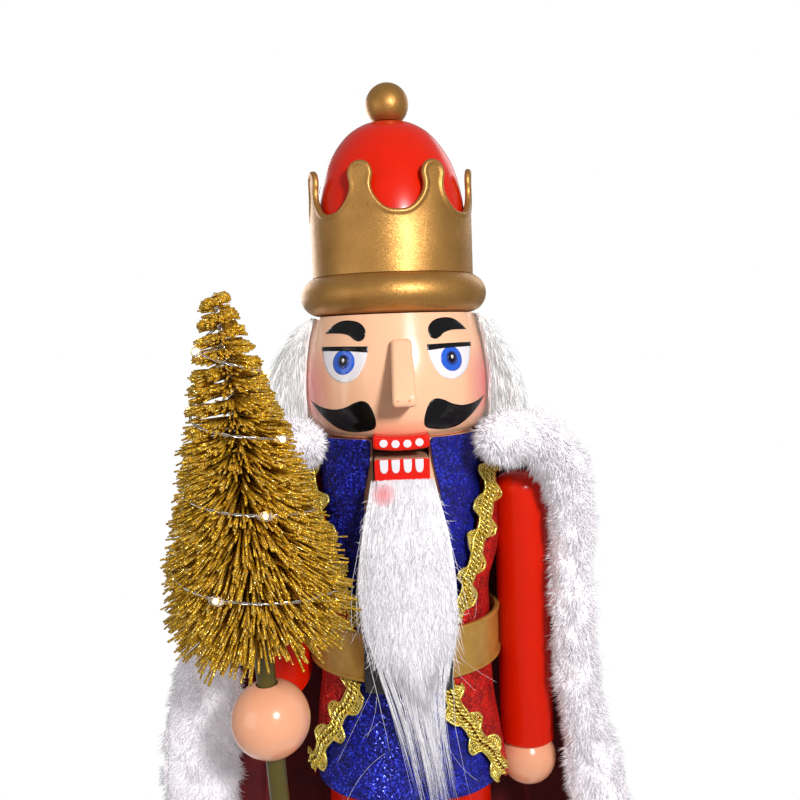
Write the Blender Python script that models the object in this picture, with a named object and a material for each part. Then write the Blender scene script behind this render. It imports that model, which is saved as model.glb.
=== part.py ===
"""A wooden nutcracker king, 381 mm tall, that holds a lit bottle-brush tree.

Metres, +Z up. The figure faces -Y, so +X is its left hand. The origin is the middle of the
base's underside. Every named object is one piece of the toy, as it would come apart on a bench.
"""

from math import acos, asin, atan2, cos, pi, radians, sin

import bmesh
import bpy
from mathutils import Matrix, Vector

MM = 0.001
GAP = 0.3 * MM

# Driving dimensions
TOTAL_HEIGHT = 381.0 * MM
FELT_TOP = 1.2 * MM
BASE_TOP = 30.0 * MM
BOOT_TOP = 94.0 * MM
HEM_Z = 157.0 * MM
BELT_BOTTOM = 192.6 * MM
BELT_TOP = 208.4 * MM
TORSO_TOP = 267.0 * MM
HEAD_BOTTOM = TORSO_TOP + GAP
HEAD_TOP = 305.5 * MM
ROLL_TOP = 318.2 * MM
DOME_TOP = 368.3 * MM
TORSO_RADIUS = 25.6 * MM
CROWN_RADIUS = 26.4 * MM
LEG_X = 14.5 * MM
LEG_RADIUS = 12.6 * MM
SLEEVE_RADIUS = 9.0 * MM
SLEEVE_TOP = 252.0 * MM
LEFT_SLEEVE_LOW = 159.6 * MM
SHOULDER_X = 40.7 * MM
SHOULDER_Z = 238.0 * MM
LEFT_HAND_RADIUS = 9.6 * MM
LEFT_HAND_Z = 153.6 * MM
RIGHT_HAND_RADIUS = 11.4 * MM
DOWEL_RADIUS = 3.0 * MM
PEG_RADIUS = 2.5 * MM
PEG_INSET = 17.0 * MM
CLOTH = 0.8 * MM
VEST_INNER = 0.6 * MM
COAT_INNER = VEST_INNER + CLOTH + 0.8 * MM
BRAID_INNER = COAT_INNER + CLOTH + 0.4 * MM
BRAID = 1.0 * MM

# The jaw lever and its pivot, in the plane of Y and Z
JAW_WIDTH = 16.6 * MM
SLOT_WIDTH = 17.6 * MM
PIVOT = Vector((0, -3.0 * MM, 214.0 * MM))
PIN_RADIUS = 1.6 * MM

# The staff passes through the right hand and stands in the base
TREE_HAND = Vector((-40.7 * MM, -45.0 * MM, 189.8 * MM))
STAFF_AXIS = Vector((-0.05, -0.085, 1.0)).normalized()
STAFF_RADIUS = 2.8 * MM
STAFF_LOW_Z = 22.4 * MM
STAFF_TOP_Z = 213.0 * MM
TREE_TIP_Z = 312.5 * MM

# The wire stem leans to the left above a height
BEND_FROM = 232.0 * MM
BEND_SPAN = 80.0 * MM
BEND_ASIDE = 3.0 * MM
STEM_HEIGHTS = (232, 248, 264, 280, 296)

# The crown's scalloped edge: (distance round from a point's tip, height), in mm, to half a notch
CROWN_POINTS = 7
CROWN_TURN = radians(5.3)
CROWN_EDGE = [(0, 351.9), (1.6, 351.6), (2.8, 350.8), (3.5, 349.6), (3.8, 343.8), (4.3, 341.9), (5.4, 340.1)]
CROWN_EDGE += [(6.9, 338.5), (8.6, 337.4), (10.2, 336.9), (11.848, 336.8)]
CROWN_WALL = 1.6 * MM

# Turned outlines, as (radius, height) in mm
PLINTH_SHAPE = [(50, 1.5), (52, 3.5), (52, 10), (50.5, 12), (48.5, 13), (47.6, 18), (48.0, 22)]
PLINTH_SHAPE += [(50.2, 24), (50.5, 28), (49.5, 30)]
PAD_RADIUS = 49.0 * MM
FINIAL_RADIUS = 7.0 * MM
DOME_SHAPE = [(24.4, 319), (24.4, 330), (24.2, 338), (23.1, 345.5), (20.9, 353), (17.6, 359), (13.6, 363.8)]
DOME_SHAPE += [(9, 366.8), (4.4, 368.1)]


# ---------------------------------------------------------------- tools

MATERIALS = {}


def material(name, colour, roughness=0.5, metallic=0.0):
    """A Principled material, made once for each name."""
    if name not in MATERIALS:
        made = bpy.data.materials.new(name)
        made.use_nodes = True
        shader = made.node_tree.nodes["Principled BSDF"]
        shader.inputs["Base Color"].default_value = (*colour, 1.0)
        shader.inputs["Roughness"].default_value = roughness
        shader.inputs["Metallic"].default_value = metallic
        made.diffuse_color = (*colour, 1.0)
        MATERIALS[name] = made
    return MATERIALS[name]


def add_object(name, mesh, finish, smooth_angle=35):
    """Puts a mesh in the scene under its own name, shaded smooth up to an angle."""
    mesh.materials.append(finish)
    mesh.shade_smooth()
    mesh.set_sharp_from_angle(angle=radians(smooth_angle))
    made = bpy.data.objects.new(name, mesh)
    bpy.context.scene.collection.objects.link(made)
    return made


def mesh_from(name, points, faces):
    """A mesh with its faces turned outwards."""
    mesh = bpy.data.meshes.new(name)
    mesh.from_pydata([tuple(p) for p in points], [], faces)
    work = bmesh.new()
    work.from_mesh(mesh)
    bmesh.ops.remove_doubles(work, verts=work.verts, dist=1e-7)
    bmesh.ops.recalc_face_normals(work, faces=work.faces)
    work.to_mesh(mesh)
    work.free()
    return mesh


def turned_mesh(name, outline, steps=24, start=0.0, sweep=2 * pi):
    """Turns an outline of (radius, height) about Z. An outline that starts and ends off the
    axis is a closed ring's section. Angles count from the front, -Y, towards +X."""
    full = abs(sweep - 2 * pi) < 1e-6
    rings = steps if full else steps + 1
    points, rows = [], []
    for radius, height in outline:
        row = []
        for i in range(rings):
            if radius < 1e-9 and row:
                row.append(row[0])
                continue
            angle = start + sweep * i / steps
            points.append((radius * sin(angle), -radius * cos(angle), height))
            row.append(len(points) - 1)
        rows.append(row)
    closed = outline[0][0] > 1e-9 and outline[-1][0] > 1e-9
    pairs = list(zip(rows, rows[1:])) + ([(rows[-1], rows[0])] if closed else [])
    faces = []
    for low, high in pairs:
        for i in range(steps):
            j = (i + 1) % rings
            corners = []
            for corner in (low[i], low[j], high[j], high[i]):
                if corner not in corners:
                    corners.append(corner)
            if len(corners) > 2:
                faces.append(corners)
    if not full:
        faces.append([row[0] for row in rows])
        faces.append([row[-1] for row in rows])
    return mesh_from(name, points, faces)


def turned(name, outline, finish, steps=24, at=(0, 0, 0), **sweep):
    made = add_object(name, turned_mesh(name, outline, steps, **sweep), finish)
    made.location = at
    return made


def extruded(name, outline, width, finish, bevel=0.0):
    """A (y, z) outline made into a board as wide as width along X, about X = 0."""
    half = width / 2
    count = len(outline)
    points = [(-half, y, z) for y, z in outline] + [(half, y, z) for y, z in outline]
    sides = [(i, (i + 1) % count, count + (i + 1) % count, count + i) for i in range(count)]
    faces = [tuple(range(count)), tuple(range(count, 2 * count)), *sides]
    made = add_object(name, mesh_from(name, points, faces), finish)
    if bevel:
        rounding = made.modifiers.new("rounding", "BEVEL")
        rounding.width = bevel
        rounding.segments = 2
        rounding.limit_method = "ANGLE"
        rounding.angle_limit = radians(40)
    return made


def block(name, low, high, finish):
    """A box between two corners."""
    points = [(x, y, z) for x in (low[0], high[0]) for y in (low[1], high[1]) for z in (low[2], high[2])]
    faces = [(0, 1, 3, 2), (4, 6, 7, 5), (0, 4, 5, 1), (2, 3, 7, 6), (0, 2, 6, 4), (1, 5, 7, 3)]
    return add_object(name, mesh_from(name, points, faces), finish)


def rod_mesh(name, start, end, radius, sides=10):
    """A plain cylinder between two points."""
    along = end - start
    mesh = turned_mesh(name, [(0, 0), (radius, 0), (radius, along.length), (0, along.length)], sides)
    turn = Vector((0, 0, 1)).rotation_difference(along).to_matrix().to_4x4()
    mesh.transform(Matrix.Translation(start) @ turn)
    return mesh


def rod(name, start, end, radius, finish, sides=10):
    return add_object(name, rod_mesh(name, start, end, radius, sides), finish)


def cut(target, mesh):
    """Takes a closed mesh away from an object."""
    cutter = bpy.data.objects.new(mesh.name, mesh)
    bpy.context.scene.collection.objects.link(cutter)
    cutter.hide_render = True
    cutter.display_type = "WIRE"
    taking = target.modifiers.new(mesh.name, "BOOLEAN")
    taking.operation = "DIFFERENCE"
    taking.object = cutter


def bore(target, start, end, radius, sides=12):
    cut(target, rod_mesh(f"{target.name}_bore", start, end, radius, sides))


def swept(name, path, widths, depths, finish, facing=Vector((0, -1, 0)), sides=10):
    """A soft roll along a path. Each section is an ellipse: its width lies across the path,
    square to the way it faces, and its depth is square to that."""
    points, rows = [], []
    for i, centre in enumerate(path):
        ahead = path[min(i + 1, len(path) - 1)] - path[max(i - 1, 0)]
        tangent = ahead.normalized()
        side = facing.cross(tangent).normalized()
        up = tangent.cross(side)
        row = []
        for k in range(sides):
            angle = 2 * pi * k / sides
            points.append(centre + side * widths[i] * cos(angle) + up * depths[i] * sin(angle))
            row.append(len(points) - 1)
        rows.append(row)
    faces = [tuple(rows[0]), tuple(rows[-1])]
    for low, high in zip(rows, rows[1:]):
        for k in range(sides):
            m = (k + 1) % sides
            faces.append((low[k], low[m], high[m], high[k]))
    return add_object(name, mesh_from(name, points, faces), finish, smooth_angle=60)


def shell(name, rows, thickness, finish, missing=()):
    """A sheet through rows of points, thickened outwards. missing holds the (row, column) of
    each face left out."""
    points = [p for row in rows for p in row]
    wide = len(rows[0])
    faces = [
        (r * wide + c, r * wide + c + 1, (r + 1) * wide + c + 1, (r + 1) * wide + c)
        for r in range(len(rows) - 1)
        for c in range(wide - 1)
        if (r, c) not in missing
    ]
    mesh = bpy.data.meshes.new(name)
    mesh.from_pydata([tuple(p) for p in points], [], faces)
    work = bmesh.new()
    work.from_mesh(mesh)
    bmesh.ops.delete(work, geom=[v for v in work.verts if not v.link_faces], context="VERTS")
    work.to_mesh(mesh)
    work.free()
    made = add_object(name, mesh, finish)
    skin = made.modifiers.new("thickness", "SOLIDIFY")
    skin.thickness = thickness
    skin.offset = 1
    skin.use_even_offset = True
    return made


def scaled(outline):
    """Pairs in mm as pairs in metres."""
    return [(a * MM, b * MM) for a, b in outline]


def spread(low, high, count):
    """count + 1 values from low to high."""
    return [low + (high - low) * i / count for i in range(count + 1)]


def blend(table, at):
    """Reads a value from (position, value) pairs by straight lines between them."""
    table = sorted(table)
    if at <= table[0][0]:
        return table[0][1]
    for (p0, v0), (p1, v1) in zip(table, table[1:]):
        if at <= p1:
            return v0 + (v1 - v0) * (at - p0) / (p1 - p0)
    return table[-1][1]


def smooth_path(points, count):
    """count + 1 points on a Catmull-Rom curve through the given points."""
    ends = [points[0] * 2 - points[1], *points, points[-1] * 2 - points[-2]]
    spans = len(points) - 1
    found = []
    for t in spread(0, spans, count):
        i = min(int(t), spans - 1)
        f = t - i
        a, b, c, d = ends[i : i + 4]
        point = 2 * b + (c - a) * f
        point += (2 * a - 5 * b + 4 * c - d) * f**2
        point += (3 * b - a - 3 * c + d) * f**3
        found.append(point / 2)
    return found


# ---------------------------------------------------------------- finishes

FLESH = material("flesh_paint", (0.93, 0.62, 0.45), 0.22)
RED_PAINT = material("red_paint", (0.78, 0.03, 0.01), 0.2)
GOLD_PAINT = material("gold_paint", (0.62, 0.42, 0.13), 0.38, 0.75)
BLACK_PAINT = material("black_paint", (0.01, 0.01, 0.01), 0.15)
BARE_WOOD = material("bare_wood", (0.68, 0.5, 0.31), 0.6)
BLUE_FELT = material("blue_glitter", (0.0, 0.02, 0.5), 0.6)
RED_FELT = material("red_glitter", (0.6, 0.01, 0.01), 0.6)
GOLD_BRAID = material("gold_braid", (0.75, 0.6, 0.15), 0.35, 0.6)
BELT_LEATHER = material("belt_leather", (0.6, 0.4, 0.1), 0.4)
BUCKLE_BLACK = material("buckle_black", (0.02, 0.02, 0.02), 0.3)
WHITE_HAIR = material("white_hair", (0.85, 0.83, 0.83), 0.8)
WHITE_FUR = material("white_fur", (0.9, 0.86, 0.88), 0.9)
VELVET = material("red_velvet", (0.4, 0.01, 0.02), 0.9)
GLITTER_GOLD = material("tree_gold", (0.62, 0.4, 0.03), 0.45, 0.5)
STAFF_PAINT = material("staff_paint", (0.28, 0.24, 0.03), 0.45)
WIRE = material("silver_wire", (0.8, 0.8, 0.82), 0.3, 0.9)
STEEL = material("steel", (0.6, 0.6, 0.62), 0.3, 1.0)
BLACK_PLASTIC = material("black_plastic", (0.03, 0.03, 0.03), 0.5)
FELT = material("base_felt", (0.05, 0.2, 0.08), 0.95)


# ---------------------------------------------------------------- base and lighting

POCKET_LOW = Vector((-17, 8, -5)) * MM
POCKET_HIGH = Vector((23, 35, 15)) * MM
ROOM_X = (-15.2 * MM, 11.2 * MM)
CHANNEL_TOP = 4.4 * MM
COVER_Z = (2.1 * MM, 3.9 * MM)
RAIL = 1.0 * MM
HOUSING_WALL = 1.5 * MM
CELL_RADIUS = 10.0 * MM
CELL_HEIGHT = 3.2 * MM
CELL_AT = Vector((-2.5, 21.5, 4.4)) * MM
SWITCH_X = 17.0 * MM
SWITCH_HALF = 3.2 * MM
LEAD_RADIUS = 0.45 * MM
LEAD_HOLE = 1.5 * MM
LEAD_END = Vector((-10.5, 14.0, 10.6)) * MM


def box_mesh(name, low, high):
    """A box as a bare mesh, to cut with."""
    made = block(name, low, high, BARE_WOOD)
    mesh = made.data
    bpy.data.objects.remove(made)
    return mesh


def stem_bend(z):
    """How far the stem has leant to the left at a height."""
    share = max(0.0, z - BEND_FROM) / BEND_SPAN
    return Vector((-BEND_ASIDE * share**2, 0, 0))


def staff_point(z, aside=Vector((0, 0, 0))):
    """The point of the staff's and stem's axis at a height, moved aside."""
    return TREE_HAND + STAFF_AXIS * ((z - TREE_HAND.z) / STAFF_AXIS.z) + stem_bend(z) + aside


LEAD_SIDE = Vector((-0.35, 1.0, 0.0)).normalized() * (STAFF_RADIUS + 1.0 * MM)


def make_base():
    """A turned plinth, hollowed below for the battery housing, on a felt pad."""
    profile = [(0, FELT_TOP + GAP), *scaled(PLINTH_SHAPE), (0, BASE_TOP)]
    base = turned("base_plinth", profile, RED_PAINT, 32)
    cut(base, box_mesh("battery_pocket", POCKET_LOW, POCKET_HIGH))
    channel_low = Vector((ROOM_X[0] - HOUSING_WALL, 30 * MM, -5 * MM))
    channel_high = Vector((ROOM_X[1] + HOUSING_WALL, 60 * MM, CHANNEL_TOP + HOUSING_WALL))
    cut(base, box_mesh("cover_channel", channel_low, channel_high))
    bore(base, staff_point(STAFF_LOW_Z - GAP), staff_point(40 * MM), STAFF_RADIUS + GAP, 16)
    lead_in = staff_point(BASE_TOP + 1 * MM, LEAD_SIDE * 1.25)
    bore(base, lead_in + (lead_in - LEAD_END) * 0.2, LEAD_END, LEAD_HOLE)
    for side in (-1, 1):
        x = side * LEG_X
        bore(base, Vector((x, 0, 20.7 * MM)), Vector((x, 0, 40 * MM)), DOWEL_RADIUS + GAP)
    outline = [(0, 0), (PAD_RADIUS, 0), (PAD_RADIUS, FELT_TOP), (0, FELT_TOP)]
    pad = turned("base_felt_pad", outline, FELT, 32)
    cut(pad, box_mesh("pad_pocket", POCKET_LOW, POCKET_HIGH))
    cut(pad, box_mesh("pad_channel", channel_low, channel_high))


def make_battery_housing():
    """A plastic box in the plinth, open below and at the back, with rails for its cover."""
    low = POCKET_LOW + Vector((1, 1, 0)) * GAP
    high = POCKET_HIGH - Vector((1, 1, 1)) * GAP
    low.z = FELT_TOP + GAP
    housing = block("battery_housing", low, high, BLACK_PLASTIC)
    inner_y = low.y + HOUSING_WALL
    room_low = Vector((ROOM_X[0], inner_y, -5 * MM))
    room_high = Vector((ROOM_X[1], high.y - HOUSING_WALL, high.z - HOUSING_WALL))
    cut(housing, box_mesh("cell_room", room_low, room_high))
    track_low = Vector((ROOM_X[0] - RAIL, inner_y, COVER_Z[0] - GAP))
    track_high = Vector((ROOM_X[1] + RAIL, 60 * MM, COVER_Z[1] + GAP))
    cut(housing, box_mesh("cover_track", track_low, track_high))
    mouth_low = Vector((ROOM_X[0], 30 * MM, -5 * MM))
    mouth_high = Vector((ROOM_X[1], 60 * MM, COVER_Z[1] + GAP))
    cut(housing, box_mesh("cover_mouth", mouth_low, mouth_high))
    well_low = Vector((SWITCH_X - SWITCH_HALF, 13 * MM, -5 * MM))
    well_high = Vector((SWITCH_X + SWITCH_HALF, 27 * MM, 9 * MM))
    cut(housing, box_mesh("switch_well", well_low, well_high))
    inwards = (LEAD_END - staff_point(BASE_TOP, LEAD_SIDE)).normalized()
    bore(housing, LEAD_END - inwards * 12 * MM, LEAD_END + inwards * 2 * MM, LEAD_HOLE)


def make_battery_cover():
    """The cover slides out to the back on the housing's rails. It has a thumb ridge."""
    edge = RAIL - GAP
    low = Vector((ROOM_X[0] - edge, POCKET_LOW.y + HOUSING_WALL + 2 * GAP, COVER_Z[0]))
    high = Vector((ROOM_X[1] + edge, 45.5 * MM, COVER_Z[1]))
    cover = block("battery_cover", low, high, BLACK_PLASTIC)
    for i in range(3):
        y = 37.6 + 2.4 * i
        cut(cover, box_mesh("thumb_groove", Vector((-10, y, 1)) * MM, Vector((6, y + 1.1, 2.6)) * MM))


def make_cell():
    """A coin cell between a flat contact above it and a clip at its rim."""
    outline = [(0, 0), (CELL_RADIUS - 1.5 * MM, 0), (CELL_RADIUS, 0.5 * MM)]
    outline += [(CELL_RADIUS, CELL_HEIGHT), (0, CELL_HEIGHT)]
    turned("coin_cell", outline, STEEL, 32, CELL_AT)
    top = CELL_AT + Vector((0, 0, CELL_HEIGHT + GAP))
    low, high = top + Vector((-3, -9, 0)) * MM, top + Vector((3, 9, 0.5)) * MM
    block("cell_spring_contact", low, high, STEEL)
    rim = CELL_AT + Vector((CELL_RADIUS + GAP, 0, 0))
    low, high = rim + Vector((0, -4, 0.3)) * MM, rim + Vector((0.5, 4, 5)) * MM
    block("cell_rim_contact", low, high, STEEL)


def make_switch():
    """A slide switch in its own well, with a knob that travels 3 mm."""
    low = Vector((SWITCH_X - 2.9 * MM, 13.3 * MM, 5.6 * MM))
    high = Vector((SWITCH_X + 2.9 * MM, 26.7 * MM, 8.7 * MM))
    block("switch_body", low, high, BLACK_PLASTIC)
    knob_low = Vector((SWITCH_X - 1.6 * MM, 15.5 * MM, 2.0 * MM))
    knob_high = Vector((SWITCH_X + 1.6 * MM, 20.5 * MM, 5.3 * MM))
    block("switch_knob", knob_low, knob_high, STEEL)


# ---------------------------------------------------------------- legs

DOWEL_LOW = 21.0 * MM
DOWEL_HIGH = 166.0 * MM
TOE_SIZE = (11.4 * MM, 21.0 * MM, 13.5 * MM)
TOE_Y = -12.0 * MM


def make_leg(side, word):
    """A turned boot with a toe block and a cuff, the trouser leg above it, and the dowel that
    holds them all between the plinth and the torso."""
    x = side * LEG_X
    foot = BASE_TOP + GAP
    outline = [(0, foot), (12.4 * MM, foot), (12.9 * MM, foot + 1 * MM), (12.9 * MM, foot + 4 * MM)]
    outline += [(11.6 * MM, foot + 10 * MM), (11.0 * MM, foot + 26 * MM), (12.2 * MM, foot + 46 * MM)]
    outline += [(13.4 * MM, BOOT_TOP - 5 * MM), (12.9 * MM, BOOT_TOP), (0, BOOT_TOP)]
    boot = turned(f"{word}_boot", outline, BLACK_PAINT, 20, (x, 0, 0))
    low, high = BOOT_TOP + GAP, BOOT_TOP + 6 * MM
    middle = (low + high) / 2
    outline = [(0, low), (13.2 * MM, low), (14.1 * MM, middle - 1 * MM)]
    outline += [(14.1 * MM, middle + 1 * MM), (13.2 * MM, high), (0, high)]
    cuff = turned(f"{word}_boot_cuff", outline, GOLD_PAINT, 20, (x, 0, 0))
    low, high = high + GAP, HEM_Z - GAP
    outline = [(0, low), (LEG_RADIUS - 0.6 * MM, low), (LEG_RADIUS, low + 2 * MM)]
    outline += [(LEG_RADIUS + 0.6 * MM, (low + high) / 2), (LEG_RADIUS, high), (0, high)]
    leg = turned(f"{word}_trouser_leg", outline, RED_PAINT, 20, (x, 0, 0))
    for piece in (boot, cuff, leg):
        bore(piece, Vector((x, 0, DOWEL_LOW)), Vector((x, 0, DOWEL_HIGH)), DOWEL_RADIUS + GAP)
    rod(f"{word}_leg_dowel", Vector((x, 0, DOWEL_LOW)), Vector((x, 0, DOWEL_HIGH)), DOWEL_RADIUS, BARE_WOOD)
    make_toe(x, word, foot)


def make_toe(x, word, foot):
    """A half-round toe block, hollowed to sit against the boot."""
    outline = [(sin(a) if a else 0, cos(a)) for a in spread(0, pi / 2, 5)]
    mesh = turned_mesh("toe", [*outline, (0, 0)], 20)
    mesh.transform(Matrix.Diagonal((*TOE_SIZE, 1)))
    mesh.transform(Matrix.Translation((x, TOE_Y, foot)))
    toe = add_object(f"{word}_boot_toe", mesh, BLACK_PAINT)
    away = rod_mesh("boot_hollow", Vector((x, 0, 20 * MM)), Vector((x, 0, 60 * MM)), 12.9 * MM + GAP, 28)
    cut(toe, away)
    low, high = Vector((x - 20 * MM, -4 * MM, 20 * MM)), Vector((x + 20 * MM, 30 * MM, 60 * MM))
    cut(toe, box_mesh("toe_back", low, high))


# ---------------------------------------------------------------- torso and jaw

TORSO_SHAPE = [(157, 28.2), (163, 27.8), (176, 26.6), (188, 25.6), (267, 25.6)]
EDGE_SHAPE = [(156, 62), (163, 54), (176, 39), (188, 28), (200, 26), (210, 29), (227, 46), (240, 58)]
EDGE_SHAPE += [(255, 72), (267, 84)]
EDGE_TWIST = [(188, 6.5), (207, 0)]
EDGE_REACH = radians(6)
COLLAR_SHAPE = [(227, 22), (240, 26.5), (250, 26), (267, 20.5)]
MOUTH_FLOOR = 227
JAW_SLOT = [(-45, 300), (-45, 212), (-22, 212), (-8, 190), (8, 168), (45, 158)]
JAW_SLOT += [(45, 200), (30, 200), (8, 232), (8, 300)]
TAIL_SLOT = (160.5, 192.0)
TAIL_HALF_ANGLE = 19.5


def torso_radius(z):
    """The turned torso's radius at a height, both in metres."""
    return blend(TORSO_SHAPE, z / MM) * MM


def edge_angle(z, side):
    """Where the coat's front edge lies at a height: its angle from the front. Below the belt both
    edges are turned a little to the right."""
    return radians(blend(EDGE_SHAPE, z / MM) - side * blend(EDGE_TWIST, z / MM))


def around(radius, angle, z):
    """The point at an angle from the front, towards +X."""
    return Vector((radius * sin(angle), -radius * cos(angle), z))


def make_torso():
    """A turned body, slotted from the mouth down to the lower back for the jaw lever."""
    rows = [(0, HEM_Z), *[(r * MM, z * MM) for z, r in TORSO_SHAPE], (0, TORSO_TOP)]
    torso = turned("torso", rows, FLESH, 30)
    slot_board = extruded("jaw_slot", scaled(JAW_SLOT), SLOT_WIDTH, BARE_WOOD)
    slot_mesh = slot_board.data
    bpy.data.objects.remove(slot_board)
    cut(torso, slot_mesh)
    reach = Vector((40 * MM, 0, 0))
    bore(torso, PIVOT - reach, PIVOT + reach, PIN_RADIUS + GAP)
    for side in (-1, 1):
        x = side * LEG_X
        bore(torso, Vector((x, 0, 140 * MM)), Vector((x, 0, DOWEL_HIGH + GAP)), DOWEL_RADIUS + GAP)
        x = side * PEG_INSET
        bore(torso, Vector((x, 0, 250 * MM)), Vector((x, 0, 280 * MM)), PEG_RADIUS + GAP)
        bore_shoulder(torso, side)


def bore_shoulder(target, side):
    """The hole for an arm's dowel."""
    start, end = (Vector((side * x * MM, 0, SHOULDER_Z)) for x in (19, 40))
    bore(target, start, end, PEG_RADIUS + GAP)


def make_vest():
    """Blue cloth on the front, open at the collar round the jaw."""
    low, high = HEM_Z, TORSO_TOP - 0.1 * MM
    heights = [low, *(z * MM for z in (163, 169, 176, 182, 188, 195, 207, 217))]
    heights += spread(MOUTH_FLOOR * MM, high, 4)
    side_faces, middle_faces = 6, 4
    rows = []
    for z in heights:
        left = edge_angle(z, 1) + EDGE_REACH
        right = edge_angle(z, -1) + EDGE_REACH
        inner = radians(blend(COLLAR_SHAPE, z / MM))
        angles = [
            *spread(-right, -inner, side_faces),
            *spread(-inner, inner, middle_faces)[1:-1],
            *spread(inner, left, side_faces),
        ]
        rows.append([around(torso_radius(z) + VEST_INNER, angle, z) for angle in angles])
    first = heights.index(min(heights, key=lambda z: abs(z - MOUTH_FLOOR * MM)))
    gap = {(r, side_faces + c) for r in range(first, len(rows) - 1) for c in range(middle_faces)}
    shell("vest", rows, CLOTH, BLUE_FELT, gap)


def make_coat():
    """Red cloth round the sides and back, with a slot at the back for the lever's tail."""
    slot_low, slot_high = (z * MM for z in TAIL_SLOT)
    heights = [HEM_Z - 1 * MM, slot_low, 163 * MM, 176 * MM, 188 * MM, slot_high]
    heights += spread(207 * MM, TORSO_TOP - 0.1 * MM, 6)
    side_faces, back_faces = 10, 2
    tail = radians(TAIL_HALF_ANGLE)
    rows = []
    for z in heights:
        angles = [
            *spread(edge_angle(z, 1), pi - tail, side_faces),
            *spread(pi - tail, pi + tail, back_faces)[1:-1],
            *spread(pi + tail, 2 * pi - edge_angle(z, -1), side_faces),
        ]
        rows.append([around(torso_radius(z) + COAT_INNER, angle, z) for angle in angles])
    gap = {(r, side_faces + c) for r in (1, 2, 3, 4) for c in range(back_faces)}
    coat = shell("coat", rows, CLOTH, RED_FELT, gap)
    for side in (-1, 1):
        bore_shoulder(coat, side)


BELT_INNER = TORSO_RADIUS + BRAID_INNER + BRAID + 0.4 * MM
BELT_OUTER = BELT_INNER + 0.9 * MM
PLATE_HALF_ANGLE = radians(24)
PLATE_THICKNESS = 1.3 * MM
PLATE_Z = (190.0 * MM, 211.0 * MM)
BRAID_WIDTH = 5.6 * MM
BRAID_Z = (161.0 * MM, 258.0 * MM)


def make_belt():
    """A ring of gold leather, with a black buckle plate in front."""
    section = [(BELT_INNER, BELT_BOTTOM), (BELT_OUTER, BELT_BOTTOM)]
    section += [(BELT_OUTER, BELT_TOP), (BELT_INNER, BELT_TOP)]
    turned("belt", section, BELT_LEATHER, 30)
    inner = BELT_OUTER + GAP
    outer = inner + PLATE_THICKNESS
    low, high = PLATE_Z
    section = [(inner, low), (outer, low), (outer, high), (inner, high)]
    turned("belt_buckle", section, BUCKLE_BLACK, 8, start=-PLATE_HALF_ANGLE, sweep=2 * PLATE_HALF_ANGLE)


def make_braid(name, side):
    """A flat band of braid down the coat's front edge, under the belt."""
    rows = []
    for z in spread(*BRAID_Z, 16):
        radius = torso_radius(z) + BRAID_INNER
        edge = edge_angle(z, side)
        half = BRAID_WIDTH / 2 / radius
        row = [around(radius, side * angle, z) for angle in spread(edge - half, edge + half, 2)]
        rows.append(row if side > 0 else row[::-1])
    shell(name, rows, BRAID, GOLD_BRAID)


LEVER = [(-31.5, 262), (-31.5, 253), (-22.3, 240), (-18, 222), (-6, 196), (10, 175), (36, 163)]
LEVER += [(39, 165), (39, 171), (16, 184), (2, 226), (-12, 240), (-14, 262)]
LEVER_FRONT = 31.5 * MM
TEETH_Z = (255.6 * MM, 262.0 * MM)
TEETH_FRONT = 32.7 * MM
PIN_HALF = 24.0 * MM


def make_jaw():
    """The lever: jaw at its front top, handle at the lower back, turning on a steel pin."""
    lever = extruded("jaw_lever", scaled(LEVER), JAW_WIDTH, FLESH, 0.5 * MM)
    reach = Vector((PIN_HALF, 0, 0))
    bore(lever, PIVOT - reach, PIVOT + reach, PIN_RADIUS + GAP)
    rod("jaw_pin", PIVOT - reach, PIVOT + reach, PIN_RADIUS, STEEL, 12)
    half = JAW_WIDTH / 2
    low, high = TEETH_Z
    block("lower_teeth", (-half, -TEETH_FRONT, low), (half, -LEVER_FRONT - GAP, high), RED_PAINT)


# The beard's half width and half depth at each height, and the line that it hangs along, in mm
BEARD_SHAPE = [(161, 9), (175, 11), (190, 12.5), (205, 13.5), (232, 13.2), (246, 10.5), (255, 8.2)]
BEARD_DEPTH = [(161, 2.5), (180, 3.4), (240, 4.0), (255, 3.4)]
BEARD_LINE = [(0, -36.6, 255), (0, -38.2, 240), (0.5, -38.6, 200), (3, -39.8, 161)]


def make_beard():
    """The hair that hangs from the lever under the teeth, down to the hem."""
    path = smooth_path([Vector(p) * MM for p in BEARD_LINE], 8)
    widths = [blend(BEARD_SHAPE, p.z / MM) * MM for p in path]
    depths = [blend(BEARD_DEPTH, p.z / MM) * MM for p in path]
    swept("beard", path, widths, depths, WHITE_HAIR)


# ---------------------------------------------------------------- arms and tree

def make_left_arm():
    """A straight sleeve with a ball hand below it."""
    centre = (SHOULDER_X, 0, 0)
    turned("left_sleeve", sleeve_outline(LEFT_SLEEVE_LOW, SLEEVE_TOP), RED_PAINT, 20, centre)
    outline = ball_outline(LEFT_HAND_RADIUS, LEFT_HAND_Z, LEFT_SLEEVE_LOW - GAP)
    turned("left_hand", outline, FLESH, 20, centre)


def sleeve_outline(low, high):
    """A dowel with a domed top."""
    dome = high - SLEEVE_RADIUS
    arc = [(SLEEVE_RADIUS * cos(a), dome + SLEEVE_RADIUS * sin(a)) for a in spread(0, pi / 2, 4)]
    return [(0, low), (SLEEVE_RADIUS, low), *arc[:-1], (0, high)]


def ball_outline(radius, centre_z, flat_z):
    """A ball cut flat at a height above its centre."""
    top = asin((flat_z - centre_z) / radius)
    arc = [(radius * cos(a), centre_z + radius * sin(a)) for a in spread(-pi / 2, top, 7)]
    return [(0, centre_z - radius), *arc[1:], (0, flat_z)]


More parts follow.
